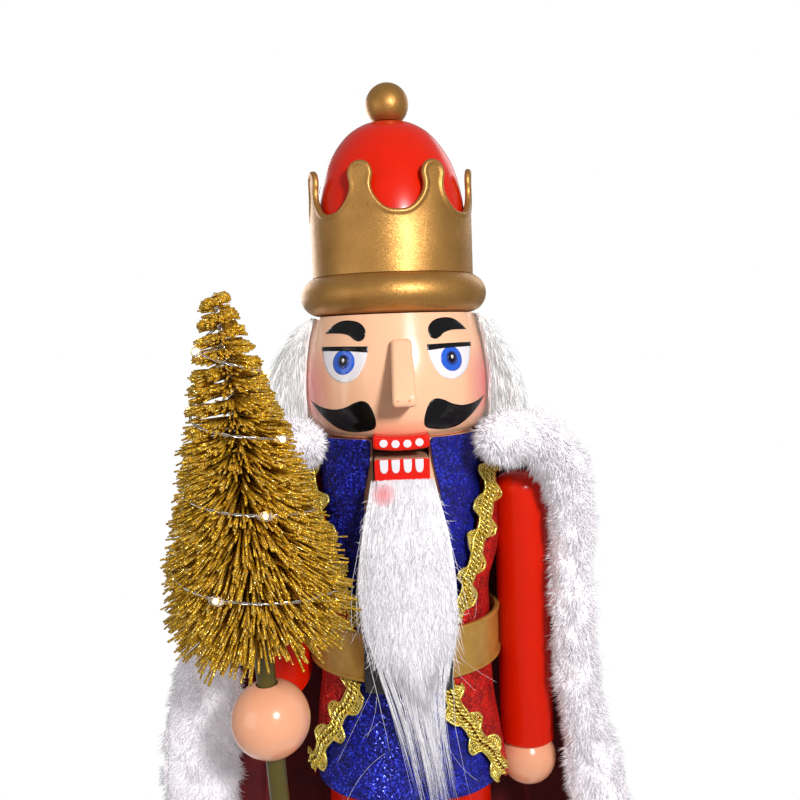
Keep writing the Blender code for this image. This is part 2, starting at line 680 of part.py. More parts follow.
def mitred(name, mesh, point, normal):
    """A sleeve cut off by a plane, on the side that the plane's normal points to."""
    work = bmesh.new()
    work.from_mesh(mesh)
    found = bmesh.ops.bisect_plane(
        work, geom=[*work.verts, *work.edges, *work.faces], plane_co=point, plane_no=normal, clear_outer=True
    )
    rim = [g for g in found["geom_cut"] if isinstance(g, bmesh.types.BMEdge)]
    bmesh.ops.holes_fill(work, edges=rim)
    bmesh.ops.recalc_face_normals(work, faces=work.faces)
    work.to_mesh(mesh)
    work.free()
    return add_object(name, mesh, RED_PAINT)


def make_right_arm():
    """The arm that holds the tree: upper sleeve, mitred forearm and a drilled ball hand."""
    elbow = Vector((-SHOULDER_X, 0, TREE_HAND.z))
    forward = (TREE_HAND - elbow).normalized()
    mitre = (Vector((0, 0, 1)) - forward).normalized()
    gap = mitre * GAP / 2
    upper = turned_mesh("upper", sleeve_outline(TREE_HAND.z - 12 * MM, SLEEVE_TOP), 20)
    upper.transform(Matrix.Translation((-SHOULDER_X, 0, 0)))
    mitred("right_upper_sleeve", upper, elbow + gap, -mitre)
    flat = RIGHT_HAND_RADIUS - 1.6 * MM
    wrist = TREE_HAND - forward * (flat + GAP)
    forearm = rod_mesh("forearm", elbow - forward * 12 * MM, wrist, SLEEVE_RADIUS, 20)
    mitred("right_forearm_sleeve", forearm, elbow - gap, mitre)
    mesh = turned_mesh("hand", ball_outline(RIGHT_HAND_RADIUS, 0, flat), 22)
    turn = Vector((0, 0, 1)).rotation_difference(-forward).to_matrix().to_4x4()
    mesh.transform(Matrix.Translation(TREE_HAND) @ turn)
    hand = add_object("right_hand", mesh, FLESH)
    bore(hand, staff_point(170 * MM), staff_point(210 * MM), STAFF_RADIUS + GAP, 16)
    bore(hand, staff_point(170 * MM, LEAD_SIDE), staff_point(210 * MM, LEAD_SIDE), 3 * LEAD_RADIUS, 10)


def make_arm_dowels():
    """The dowels that hold the sleeves to the torso."""
    for side, word, sleeve in ((1, "left", "left_sleeve"), (-1, "right", "right_upper_sleeve")):
        start = Vector((side * 19.4 * MM, 0, SHOULDER_Z))
        end = Vector((side * 41 * MM, 0, SHOULDER_Z))
        rod(f"{word}_arm_dowel", start, end, PEG_RADIUS, BARE_WOOD)
        inside = Vector((side * 25 * MM, 0, SHOULDER_Z))
        bore(bpy.data.objects[sleeve], inside, end + Vector((side * GAP, 0, 0)), PEG_RADIUS + GAP)


TREE_SHAPE = [(210, 9), (216, 21.5), (228, 24.5), (240, 23), (259, 17.5), (275, 13.2), (291, 8.8), (305, 4.6)]
TREE_SHAPE += [(310, 2.6)]
STEM_RADIUS = 1.0 * MM


def make_tree():
    """A staff, and on it a twisted wire stem with the bristles' outer shape."""
    rod("staff", staff_point(STAFF_LOW_Z), staff_point(STAFF_TOP_Z), STAFF_RADIUS, STAFF_PAINT, 14)
    bore(bpy.data.objects["staff"], staff_point(200 * MM), staff_point(220 * MM), STEM_RADIUS + GAP, 12)
    heights = [200.6 * MM, STAFF_TOP_Z + GAP, *(z * MM for z in STEM_HEIGHTS), 310 * MM, TREE_TIP_Z]
    path = [staff_point(z) for z in heights]
    radii = [STEM_RADIUS] * len(path)
    swept("tree_stem", path, radii, radii, WIRE, sides=10)
    foot = staff_point(0)
    inner = STAFF_RADIUS + GAP
    slim = STEM_RADIUS + GAP
    outline = [(inner, 210 * MM), *[(r * MM, z * MM) for z, r in TREE_SHAPE]]
    outline += [(slim, z) for z in heights[-2:0:-1]]
    outline += [(inner, STAFF_TOP_Z + GAP)]
    mesh = turned_mesh("bristles", [(r, z / STAFF_AXIS.z) for r, z in outline], 24)
    turn = Vector((0, 0, 1)).rotation_difference(STAFF_AXIS).to_matrix().to_4x4()
    mesh.transform(Matrix.Translation(foot) @ turn)
    for vertex in mesh.vertices:
        vertex.co += stem_bend(vertex.co.z)
    add_object("tree_bristles", mesh, GLITTER_GOLD)


WIRE_TURNS = 4
TURN_STEPS = 13
LAMP_COUNT = 8
LEAD_HEIGHTS = (36, 80, 130, 176, 190, 202.5)
LEAD_SPREAD = ((205.5, 0.7, 13), (211, 0.5, 27.5))
WOUND_Z = (218, 302)
WIRE_CLEAR = 1.3 * MM
LAMP_SWELL = ((-0.22, 1.2), (0, 2.8), (0.22, 1.2))


def tree_frame():
    """Two directions square to the staff: one to the right, one to the back."""
    right = Vector((1, 0, 0)) - STAFF_AXIS * STAFF_AXIS.x
    right.normalize()
    return right, STAFF_AXIS.cross(right)


def around_staff(z, turn, radius):
    """A point at a turn round the staff and a distance from its axis."""
    right, back = tree_frame()
    return staff_point(z) + (right * cos(turn) + back * sin(turn)) * radius


def on_tree(z, turn, clear):
    """A point clear of the bristles' shape, at a turn round the staff."""
    return around_staff(z, turn, blend(TREE_SHAPE, z / MM) * MM + clear)


def wound_height(share):
    """The wire's height on the tree at a share of the turns: its coils close up to the tip."""
    low, high = WOUND_Z
    return (low + (high - low) * share**0.85) * MM


def make_lights():
    """Twin wire that climbs the staff from the battery housing and winds round the tree, with
    clear drops cast round it where the lamps are."""
    inwards = (LEAD_END - staff_point(BASE_TOP, LEAD_SIDE)).normalized()
    lead = [LEAD_END + inwards * 1.5 * MM, LEAD_END, staff_point(BASE_TOP + 1 * MM, LEAD_SIDE * 1.25)]
    lead += [staff_point(z * MM, LEAD_SIDE) for z in LEAD_HEIGHTS]
    start_turn = atan2(LEAD_SIDE.y, LEAD_SIDE.x)
    lead += [around_staff(z * MM, start_turn + before, r * MM) for z, before, r in LEAD_SPREAD]
    route = [(point, 1.0) for point in lead]
    steps = int(TURN_STEPS * WIRE_TURNS)
    lamps = {round((i + 0.5) / LAMP_COUNT * steps) for i in range(LAMP_COUNT)}
    for i in range(steps + 1):
        for nudge, swell in LAMP_SWELL if i in lamps else ((0, 1.0),):
            share = (i + nudge) / steps
            turn = start_turn - 2 * pi * WIRE_TURNS * share
            clear = LEAD_RADIUS * swell + WIRE_CLEAR
            route.append((on_tree(wound_height(share), turn, clear), swell))
    curve = bpy.data.curves.new("fairy_lights", "CURVE")
    curve.dimensions = "3D"
    curve.bevel_depth = LEAD_RADIUS
    curve.bevel_resolution = 2
    curve.use_fill_caps = True
    spline = curve.splines.new("POLY")
    spline.points.add(len(route) - 1)
    for place, (point, swell) in zip(spline.points, route):
        place.co = (*point, 1)
        place.radius = swell
    curve.materials.append(WIRE)
    wire = bpy.data.objects.new("fairy_lights", curve)
    bpy.context.scene.collection.objects.link(wire)


# ---------------------------------------------------------------- head and crown

HEAD_SHAPE = [(267.3, 23.5), (268.4, 25.8), (270.5, 27.6), (274, 29.1), (280, 29.8), (287, 29.6)]
HEAD_SHAPE += [(294, 28.7), (301, 27.2), (305.5, 26.2)]
NOSE_SHAPE = [(-24, 297), (-29.6, 297), (-33, 294), (-38.5, 287), (-41.6, 282), (-42, 279.5)]
NOSE_SHAPE += [(-40.8, 278), (-24, 278)]
NOSE_WIDTH = 6.8 * MM
NOSE_ASIDE = 0.8 * MM
STRIP_Z = (264.2 * MM, 268.8 * MM)
WIG_SECTION = [(30.3, 275.6), (42, 275.6), (41.4, 281), (38.6, 289), (35, 297), (31.5, 303), (28.6, 305.2)]
WIG_SECTION += [(27.0, 305.2), (28.9, 296), (30.2, 286)]
WIG_FRONT = radians(78)


def head_outline(grow=0.0):
    rows = [(r * MM + grow, z * MM + (grow if z > 280 else -grow)) for z, r in HEAD_SHAPE]
    return [(0, HEAD_BOTTOM - grow), *rows, (0, HEAD_TOP + grow)]


def make_head():
    """The head, its nose block and the strip of upper teeth."""
    head = turned("head", head_outline(), FLESH, 32)
    for side, word in ((1, "left"), (-1, "right")):
        x = side * PEG_INSET
        bore(head, Vector((x, 0, 260 * MM)), Vector((x, 0, 280 * MM)), PEG_RADIUS + GAP)
        low, high = Vector((x, 0, 250.4 * MM)), Vector((x, 0, 279.6 * MM))
        rod(f"{word}_head_dowel", low, high, PEG_RADIUS, BARE_WOOD)
    bore(head, Vector((0, 0, 290 * MM)), Vector((0, 0, 330 * MM)), DOWEL_RADIUS + GAP)
    nose = extruded("nose", scaled(NOSE_SHAPE), NOSE_WIDTH, FLESH, 0.9 * MM)
    nose.data.transform(Matrix.Translation((NOSE_ASIDE, 0, 0)))
    cut(nose, turned_mesh("face_hollow", head_outline(GAP), 32))
    half = JAW_WIDTH / 2 + 0.1 * MM
    low, high = STRIP_Z
    strip = block("upper_teeth", (-half, -31.6 * MM, low), (half, -21 * MM, high), RED_PAINT)
    cut(strip, turned_mesh("chin_hollow", head_outline(GAP), 32))


def make_wig():
    """White hair round the sides and back of the head, flaring over the collar."""
    turned("wig", scaled(WIG_SECTION), WHITE_HAIR, 14, start=WIG_FRONT, sweep=2 * (pi - WIG_FRONT))


def crown_columns():
    """(angle, height) round the crown's scalloped edge, once for each of its upright edges."""
    found = []
    for i in range(CROWN_POINTS):
        tip = 2 * pi * i / CROWN_POINTS
        turns = [(along * MM / CROWN_RADIUS, z * MM) for along, z in CROWN_EDGE]
        found += [(tip + turn, z) for turn, z in turns]
        following = tip + 2 * pi / CROWN_POINTS
        found += [(following - turn, z) for turn, z in turns[-2:0:-1]]
    return found


def make_crown_band(low, inner):
    """The thin gold wall with its six points."""
    points, faces = [], []
    for turn, top in crown_columns():
        angle = turn + CROWN_TURN + pi / CROWN_POINTS
        for radius, z in ((inner, low), (CROWN_RADIUS, low), (CROWN_RADIUS, top), (inner, top)):
            points.append(around(radius, angle, z))
    columns = len(points) // 4
    for i in range(columns):
        a, b = 4 * i, 4 * ((i + 1) % columns)
        for k in range(4):
            m = (k + 1) % 4
            faces.append((a + k, a + m, b + m, b + k))
    add_object("crown_band", mesh_from("crown_band", points, faces), GOLD_PAINT)


def make_crown():
    """A gold roll and scalloped band round a red dome, with a gold ball on top."""
    low = HEAD_TOP + GAP
    roll_centre, roll_half = (low + ROLL_TOP) / 2, (ROLL_TOP - low) / 2
    arc = [
        (24.4 * MM + 6.0 * MM * cos(a), roll_centre + roll_half * sin(a)) for a in spread(-pi / 2, pi / 2, 6)
    ]
    roll = turned("crown_roll", [(0, low), *arc, (0, ROLL_TOP)], GOLD_PAINT, 30)
    band_low = ROLL_TOP + GAP
    inner = CROWN_RADIUS - CROWN_WALL
    make_crown_band(band_low, inner)
    rows = [(r, max(z, band_low)) for r, z in scaled(DOME_SHAPE)]
    dome = turned("crown_dome", [(0, band_low), *rows, (0, DOME_TOP)], RED_PAINT, 28)
    ball_z = TOTAL_HEIGHT - FINIAL_RADIUS
    neck = DOME_TOP + GAP
    tenon, tenon_low = 1.7 * MM, 358 * MM
    start = acos((ball_z - neck - 0.8 * MM) / FINIAL_RADIUS)
    arc = [(FINIAL_RADIUS * sin(a), ball_z - FINIAL_RADIUS * cos(a)) for a in spread(start, pi, 7)]
    outline = [(0, tenon_low), (tenon, tenon_low), (tenon, neck), (3.6 * MM, neck)]
    outline += [*arc[:-1], (0, TOTAL_HEIGHT)]
    turned("crown_finial", outline, GOLD_PAINT, 18)
    for piece in (roll, dome):
        bore(piece, Vector((0, 0, 300 * MM)), Vector((0, 0, 330 * MM)), DOWEL_RADIUS + GAP)
    bore(dome, Vector((0, 0, tenon_low - GAP)), Vector((0, 0, 373 * MM)), tenon + GAP)
    rod("crown_dowel", Vector((0, 0, 290.4 * MM)), Vector((0, 0, 329.6 * MM)), DOWEL_RADIUS, BARE_WOOD)


# ---------------------------------------------------------------- cape

# Height, half width to the left (+X), half width to the right (-X) and depth at the back
CAPE_SHAPE = [
    (62, 76, 78, 64),
    (90, 71.5, 76, 61),
    (120, 66.5, 73, 58),
    (150, 62.5, 70, 55.5),
    (176, 59, 67.5, 53),
    (200, 57, 64, 48.5),
    (230, 55, 59, 44),
    (245, 53, 54.5, 42),
    (251, 49.5, 49.5, 40),
    (255.5, 44, 44, 37.5),
]
HEM_ROLL_Z = 52.6 * MM
FUR = 8.6 * MM
COLLAR_LINE = [(41.5, 4, 265), (37, 19, 265.6), (22, 35, 266), (0, 40.5, 266), (-22, 35, 266)]
COLLAR_LINE += [(-37, 19, 265.6), (-41.5, 4, 265)]


def cape_size(z):
    """Half widths left and right and the depth of the cape at a height, in metres."""
    return [blend([(row[0], row[k]) for row in CAPE_SHAPE], z / MM) * MM for k in (1, 2, 3)]


def cape_point(z, angle, grow=0.0):
    """A point of the cape's curve: angle 0 is at +X, a quarter turn is at the back."""
    left, right, back = cape_size(z)
    wide = left if cos(angle) > 0 else right
    return Vector(((wide + grow) * cos(angle), (back + grow) * sin(angle), z))


def make_cape():
    """Red velvet from the shoulders down, open in front, with fur along every edge."""
    edge = radians(-1.5)
    rows = []
    for row in reversed(CAPE_SHAPE):
        rows.append([cape_point(row[0] * MM, a) for a in spread(pi - edge, edge, 16)])
    shell("cape", rows, 1.6 * MM, VELVET)
    hem = [cape_point(62 * MM, a) for a in spread(radians(4), pi - radians(4), 14)]
    hem = [Vector((p.x, p.y, HEM_ROLL_Z)) for p in hem]
    upwards = Vector((0, 0, 1))
    swept("fur_hem", hem, [FUR] * len(hem), [FUR] * len(hem), WHITE_FUR, upwards)
    collar = smooth_path([Vector(p) * MM for p in COLLAR_LINE], 12)
    swept("fur_collar", collar, [FUR] * len(collar), [FUR] * len(collar), WHITE_FUR, upwards)


# The lines that the fur follows down the two front edges, and its half width at each height, in mm
FRONT_LEFT = [(25.5, -29.5, 266), (37, -23, 267), (47, -17, 262.5), (53.5, -13.2, 250), (54.8, -12.4, 232)]
FRONT_LEFT += [(54.6, -12.2, 200), (57, -11.5, 176), (61.5, -11, 150), (66, -11.5, 120), (70, -12, 90)]
FRONT_LEFT += [(74, -12, 64)]
FRONT_RIGHT = [(-25.5, -29.5, 266), (-37, -23, 267), (-47, -17, 262.5), (-55, -12, 249), (-60, -10.5, 232)]
FRONT_RIGHT += [(-63.5, -10.5, 205), (-67, -12, 176), (-69, -12, 150), (-71, -12, 120), (-74, -12, 90)]
FRONT_RIGHT += [(-76.5, -12, 64)]
WIDTH_LEFT = [(64, 11.5), (120, 12.5), (150, 11.5), (172, 8.6), (247, 8.6), (259, 10), (267, 9.4)]
WIDTH_RIGHT = [(64, 11.5), (120, 13), (176, 14), (196, 11.5), (215, 9.5), (247, 8.6), (259, 10), (267, 9.4)]


def make_front_fur():
    """The two front edges' fur: from the throat, over the shoulder and down to the hem."""
    for word, points, widths in (("left", FRONT_LEFT, WIDTH_LEFT), ("right", FRONT_RIGHT, WIDTH_RIGHT)):
        path = smooth_path([Vector(p) * MM for p in points], 16)
        wide = [blend(widths, p.z / MM) * MM for p in path]
        deep = [min(w, FUR) for w in wide]
        swept(f"fur_front_{word}", path, wide, deep, WHITE_FUR)


# ---------------------------------------------------------------- assembly

def clear_scene():
    for old in list(bpy.data.objects):
        bpy.data.objects.remove(old)


def main():
    clear_scene()
    make_base()
    make_battery_housing()
    make_battery_cover()
    make_cell()
    make_switch()
    make_leg(1, "left")
    make_leg(-1, "right")
    make_torso()
    make_vest()
    make_coat()
    make_belt()
    for side, word in ((1, "left"), (-1, "right")):
        make_braid(f"{word}_braid", side)
    make_jaw()
    make_beard()
    make_left_arm()
    make_right_arm()
    make_arm_dowels()
    make_tree()
    make_lights()
    make_head()
    make_wig()
    make_crown()
    make_cape()
    make_front_fur()


main()
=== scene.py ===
"""The looks of a wooden nutcracker king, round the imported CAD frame. Metres, +Z up, facing -Y."""
from math import asin, atan, atan2, cos, pi, radians, sin

import bmesh
import bpy
import numpy as np
from mathutils import Matrix, Vector
from mathutils.geometry import delaunay_2d_cdt


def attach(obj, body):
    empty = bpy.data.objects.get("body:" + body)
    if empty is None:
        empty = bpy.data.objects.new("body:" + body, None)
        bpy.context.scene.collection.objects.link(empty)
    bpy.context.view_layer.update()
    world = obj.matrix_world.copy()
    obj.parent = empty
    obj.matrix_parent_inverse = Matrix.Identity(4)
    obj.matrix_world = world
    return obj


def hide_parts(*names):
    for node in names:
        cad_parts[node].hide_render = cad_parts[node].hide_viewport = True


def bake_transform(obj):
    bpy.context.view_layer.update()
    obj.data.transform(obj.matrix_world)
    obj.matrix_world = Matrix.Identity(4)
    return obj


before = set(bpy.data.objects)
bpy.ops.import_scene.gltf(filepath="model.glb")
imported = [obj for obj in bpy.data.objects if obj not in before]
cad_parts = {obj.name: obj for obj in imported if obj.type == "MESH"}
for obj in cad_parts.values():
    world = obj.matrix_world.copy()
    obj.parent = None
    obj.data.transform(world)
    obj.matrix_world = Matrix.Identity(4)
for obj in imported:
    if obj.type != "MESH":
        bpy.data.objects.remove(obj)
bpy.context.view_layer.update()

MM = 0.001
TURN = 2 * pi
SIDES = ((1, "left"), (-1, "right"))
rng = np.random.default_rng(7)

# ---------------------------------------------------------------- looks


class Look:
    """A node material built step by step on a Principled shader. Its sizes are in mm."""

    def __init__(self, name, colour, rough=0.5, metal=0.0, **sockets):
        self.mat = bpy.data.materials.new(name)
        self.mat.use_nodes = True
        self.tree = self.mat.node_tree
        self.shader = self.tree.nodes["Principled BSDF"]
        self.drive(Base_Color=colour, Roughness=rough, Metallic=metal, **sockets)
        self.coords = self.node("TexCoord").outputs["Object"]

    def feed(self, socket, value):
        """Sets a socket, or links it to another node's output."""
        if isinstance(value, bpy.types.NodeSocket):
            self.tree.links.new(value, socket)
        else:
            socket.default_value = (*value, 1.0) if socket.type == "RGBA" and len(value) == 3 else value

    def node(self, kind, inputs=(), **settings):
        made = self.tree.nodes.new("ShaderNode" + kind)
        for key, value in settings.items():
            setattr(made, key, value)
        for key, value in dict(inputs).items():
            self.feed(made.inputs[key], value)
        return made

    def drive(self, **values):
        for key, value in values.items():
            self.feed(self.shader.inputs[key.replace("_", " ")], value)
        return self

    def maths(self, operation, a, b):
        return self.node("Math", {0: a, 1: b}, operation=operation).outputs[0]

    def vector(self, operation, a, b=(0, 0, 0)):
        made = self.node("VectorMath", {0: a, 1: b}, operation=operation)
        return made.outputs["Value" if operation in ("LENGTH", "DISTANCE") else "Vector"]

    def noise(self, size, detail=3.0):
        scale = 1.0 / (size * MM)
        return self.node("TexNoise", {"Vector": self.coords, "Scale": scale, "Detail": detail}).outputs["Fac"]

    def wave(self, scale, distortion):
        inputs = {"Vector": self.coords, "Scale": scale, "Distortion": distortion}
        return self.node("TexWave", inputs).outputs["Fac"]

    def cells(self, size):
        """The random colour and the distance of cells of this size."""
        made = self.node("TexVoronoi", {"Vector": self.coords, "Scale": 1.0 / (size * MM)})
        return made.outputs["Color"], made.outputs["Distance"]

    def channel(self, speck, name):
        return self.node("SeparateColor", {"Color": speck}).outputs[name]

    def ramp(self, fac, *stops):
        """A ramp of (place, colour) stops. A colour that is one number is a grey."""
        made = self.node("ValToRGB", {"Fac": fac})
        bar = made.color_ramp.elements
        while len(bar) < len(stops):
            bar.new(0.5)
        for element, (place, colour) in zip(bar, stops):
            element.position = place
            element.color = (*(colour if isinstance(colour, tuple) else (colour,) * 3), 1.0)
        return made.outputs["Color"]

    def mix(self, fac, a, b, blend="MIX"):
        return self.node("Mix", {0: fac, 6: a, 7: b}, data_type="RGBA", blend_type=blend).outputs[2]

    def mottle(self, size, detail, low, high):
        return self.drive(Base_Color=self.mix(self.noise(size, detail), low, high))

    def bump(self, height, depth, strength):
        made = self.node("Bump", {"Height": height, "Strength": strength, "Distance": depth * MM})
        normal = self.shader.inputs["Normal"]
        if normal.is_linked:
            self.feed(made.inputs["Normal"], normal.links[0].from_socket)
        return self.drive(Normal=made.outputs["Normal"])

    def grain(self, size, detail, depth, strength):
        return self.bump(self.noise(size, detail), depth, strength)

    def flakes(self, colour, amount):
        """Turns the normal at random in each cell, by this amount."""
        apart = self.vector("MULTIPLY", self.vector("SUBTRACT", colour, (0.5,) * 3), (amount,) * 3)
        normal = self.node("NewGeometry").outputs["Normal"]
        return self.drive(Normal=self.vector("NORMALIZE", self.vector("ADD", normal, apart)))


def gloss(name, colour, rough=0.16, wear=0.04, coat=0.5, shine=0.5):
    """Sprayed gloss paint on turned wood: faint mottling and a little orange peel."""
    look = Look(name, colour, rough, Coat_Weight=coat, Coat_Roughness=0.06, Specular_IOR_Level=shine)
    look.mottle(6, 3.0, tuple(c * (1 - 3 * wear) for c in colour), colour)
    return look.grain(1.6, 2.0, 0.02, 0.35)


def gold(name):
    """Metallic gold paint: fine flakes over slow mottling."""
    deep, bright = (0.34, 0.16, 0.035), (0.60, 0.32, 0.09)
    look = Look(name, bright, 0.46, 0.8, Coat_Weight=0.15, Coat_Roughness=0.3)
    speck, _ = look.cells(0.22)
    grain = look.ramp(speck, (0.0, 0.72), (1.0, (1.2, 1.15, 1.0)))
    look.drive(Base_Color=look.mix(0.8, look.mix(look.noise(9), deep, bright), grain, "MULTIPLY"))
    return look.flakes(speck, 0.16)


def glitter(name, dark, mid, bright):
    """Felt covered with glitter: dark pile, coloured flakes and a few bright ones."""
    look = Look(name, mid, 0.42, 0.3)
    speck, _ = look.cells(0.42)
    share = look.channel(speck, "Red")
    base = look.ramp(share, (0.0, dark), (0.45, mid), (0.8, tuple(1.6 * c for c in mid)), (0.93, bright))
    slow = look.ramp(look.noise(5, 2.0), (0.3, 0.55), (0.7, 1.25))
    look.drive(Base_Color=look.mix(0.9, base, slow, "MULTIPLY"))
    look.drive(Roughness=look.ramp(share, (0.0, 0.75), (0.8, 0.55), (0.93, 0.2)))
    return look.flakes(speck, 0.9).grain(0.9, 2.0, 0.25, 0.6)


def hair(name, colour, shade, clump, glow, rough=0.62, sheen=0.35, cell=0.5, slow=0.6, ends=(0.25, 0.62)):
    """Fine white fibre with painted shade between its locks and a faint painted glow in its own colour. Returns the
    look and its colour.
    """
    # The emission is a painted glow that lifts the shadows between the fibres.
    light = {"Emission_Color": colour, "Emission_Strength": glow}
    look = Look(name, colour, rough, Sheen_Weight=sheen, Sheen_Roughness=0.5, **light)
    lock = look.maths("MULTIPLY", look.noise(clump, 2.0), slow)
    fibre = look.maths("MULTIPLY", look.channel(look.cells(cell)[0], "Red"), 1 - slow)
    tone = look.ramp(look.maths("ADD", lock, fibre), (ends[0], shade), (ends[1], colour))
    return look.drive(Base_Color=tone), tone


def flesh_look():
    """Flesh paint with a round blush on each cheek."""
    skin = {"Subsurface_Weight": 0.12, "Subsurface_Radius": (0.004, 0.0015, 0.0008), "Subsurface_Scale": 0.4}
    look = Look("flesh_paint_look", (0.86, 0.47, 0.27), 0.2, Coat_Weight=0.5, Coat_Roughness=0.08, **skin)
    split = look.node("SeparateXYZ", {"Vector": look.coords}).outputs
    folded = {"X": look.maths("ABSOLUTE", split["X"], 0.0), "Y": split["Y"], "Z": split["Z"]}
    cheek = (28.3 * MM, -10.5 * MM, 283.0 * MM)
    far = look.vector("DISTANCE", look.node("CombineXYZ", folded).outputs[0], cheek)
    blush = look.ramp(look.maths("DIVIDE", far, 15 * MM), (0.0, 1.0), (0.45, 0.62), (1.0, 0.0))
    tone = look.mix(look.noise(8), (0.84, 0.47, 0.28), (0.91, 0.53, 0.33))
    look.drive(Base_Color=look.mix(blush, tone, (0.78, 0.16, 0.15)))
    return look.grain(1.5, 2.0, 0.02, 0.3)


def beard_look():
    """Fine white hair with painted shade between its locks, a faint painted glow, and a little red paint on it under
    the jaw's corner.
    """
    white, spot = (0.97, 0.95, 0.98), (-6.2 * MM, -37 * MM, 252.6 * MM)
    look, tone = hair("beard_hair_look", white, (0.80, 0.78, 0.83), 3, 0.11, 0.5, 0.3, 0.6, 0.5, (0.2, 0.6))
    far = look.maths("DIVIDE", look.vector("DISTANCE", look.coords, spot), 4.6 * MM)
    return look.drive(Base_Color=look.mix(look.ramp(far, (0.2, 0.9), (1.0, 0.0)), tone, (0.9, 0.10, 0.12)))


def tinsel_look():
    look = Look("gold_tinsel_look", (0.55, 0.32, 0.02), 0.38, 0.55)
    speck, _ = look.cells(0.36)
    share = look.channel(speck, "Green")
    dark, mid, light = (0.26, 0.12, 0.001), (0.58, 0.31, 0.006), (0.86, 0.52, 0.02)
    stops = (0.0, dark), (0.4, mid), (0.8, light), (0.95, (1.0, 0.88, 0.4))
    look.drive(Base_Color=look.ramp(share, *stops), Roughness=look.ramp(share, (0.0, 0.55), (0.9, 0.2)))
    return look.flakes(speck, 1.0)


def braid_look():
    look = Look("gold_braid_look", (0.72, 0.53, 0.13), 0.26, 0.78)
    share = look.channel(look.cells(0.5)[0], "Blue")
    stops = (0.0, (0.50, 0.34, 0.03)), (0.35, (0.86, 0.64, 0.09)), (1.0, (1.0, 0.90, 0.34))
    return look.drive(Base_Color=look.ramp(share, *stops)).bump(look.wave(1400.0, 3.0), 0.06, 0.6)


def wood_look():
    look = Look("bare_wood_look", (0.60, 0.42, 0.24), 0.6)
    return look.drive(Base_Color=look.mix(look.wave(160.0, 6.0), (0.62, 0.45, 0.27), (0.47, 0.31, 0.16)))


# Gloss paints: name, colour, roughness, wear, coat, shine.
PAINTS = {
    "red": ("red_paint_look", (0.66, 0.012, 0.0005), 0.24, 0.04, 0.06, 0.22),
    "hand": ("hand_paint_look", (0.90, 0.41, 0.235), 0.2, 0.04, 0.3),
    "mouth": ("mouth_red_look", (0.74, 0.010, 0.003), 0.25, 0.04, 0.08, 0.25),
    "black": ("black_paint_look", (0.003, 0.003, 0.004), 0.14, 0.02, 0.1, 0.3),
    "white": ("white_paint_look", (0.80, 0.76, 0.80), 0.18, 0.02),
    "iris": ("iris_blue_look", (0.012, 0.105, 0.62), 0.15),
    "iris_dark": ("iris_navy_look", (0.004, 0.03, 0.24), 0.15),
    "staff": ("staff_paint_look", (0.10, 0.075, 0.008), 0.34, 0.08, 0.1),
}
# Mottled materials: name, colour, roughness, metal, mottling, grain, other sockets.
MOTTLED = {
    "velvet": (
        "red_velvet_look", (0.09, 0.003, 0.005), 0.85, 0.0,
        (7, 4.0, (0.05, 0.001, 0.003), (0.17, 0.005, 0.009)),
        (0.35, 3.0, 0.12, 0.7), {"Sheen_Weight": 0.7, "Sheen_Roughness": 0.35, "Sheen_Tint": (0.9, 0.12, 0.12)},
    ),
    "belt": (
        "belt_leather_look", (0.50, 0.29, 0.07), 0.36, 0.35, (4, 5.0, (0.36, 0.18, 0.03), (0.62, 0.35, 0.075)),
        (), {"Coat_Weight": 0.15},
    ),
    "steel": (
        "steel_look", (0.55, 0.55, 0.56), 0.28, 1.0, (3, 3.0, (0.45, 0.45, 0.46), (0.66, 0.66, 0.67)),
        (0.3, 3.0, 0.02, 0.4), {},
    ),
    "wire": (
        "silver_wire_look", (0.75, 0.75, 0.78), 0.2, 1.0, (2, 3.0, (0.55, 0.53, 0.5), (0.85, 0.85, 0.88)),
        (), {},
    ),
    "drop": (
        "lamp_drop_look", (1.0, 0.97, 0.92), 0.06, 0.0, (), (0.8, 3.0, 0.05, 0.3),
        {"Transmission_Weight": 0.85, "IOR": 1.5},
    ),
    "lamp": (
        "lamp_glow_look", (1.0, 0.8, 0.4), 0.3, 0.0, (0.5, 3.0, (1.0, 0.75, 0.3), (1.0, 0.9, 0.6)), (),
        {"Emission_Strength": 5.0, "Emission_Color": (1.0, 0.62, 0.22)},
    ),
    "plastic": (
        "black_plastic_look", (0.02, 0.02, 0.022), 0.45, 0.0,
        (2, 3.0, (0.014, 0.014, 0.016), (0.035, 0.035, 0.037)), (0.25, 3.0, 0.05, 0.6), {},
    ),
    "felt": (
        "base_felt_look", (0.02, 0.09, 0.03), 0.95, 0.0, (0.6, 4.0, (0.012, 0.06, 0.02), (0.035, 0.13, 0.045)),
        (0.3, 4.0, 0.15, 0.8), {"Sheen_Weight": 0.3},
    ),
}
# The looks, by the short names that the pieces use.
LOOKS = {}


def make_looks():
    for key, row in PAINTS.items():
        LOOKS[key] = gloss(*row)
    for key, (name, colour, rough, metal, mottling, grain, sockets) in MOTTLED.items():
        look = LOOKS[key] = Look(name, colour, rough, metal, **sockets)
        if mottling:
            look.mottle(*mottling)
        if grain:
            look.grain(*grain)
    LOOKS["belt"].bump(LOOKS["belt"].cells(0.6)[1], 0.08, 0.6)
    LOOKS["flesh"], LOOKS["gold"] = flesh_look(), gold("gold_paint_look")
    blue = (0.0, 0.0, 0.04), (0.0015, 0.003, 0.24), (0.05, 0.08, 0.85)
    red = (0.18, 0.0, 0.0), (0.52, 0.003, 0.002), (0.95, 0.07, 0.03)
    LOOKS["blue_felt"] = glitter("blue_glitter_look", *blue)
    LOOKS["red_felt"] = glitter("red_glitter_look", *red)
    # Fur and wig: colour, painted shade between the locks, clump size and painted glow.
    LOOKS["fur"] = hair("white_fur_look", (0.96, 0.93, 0.96), (0.86, 0.80, 0.86), 5, 0.09)[0]
    LOOKS["wig"] = hair("wig_hair_look", (0.97, 0.965, 0.96), (0.86, 0.85, 0.85), 4, 0.13)[0]
    LOOKS["beard"], LOOKS["tinsel"] = beard_look(), tinsel_look()
    LOOKS["braid"], LOOKS["wood"] = braid_look(), wood_look()


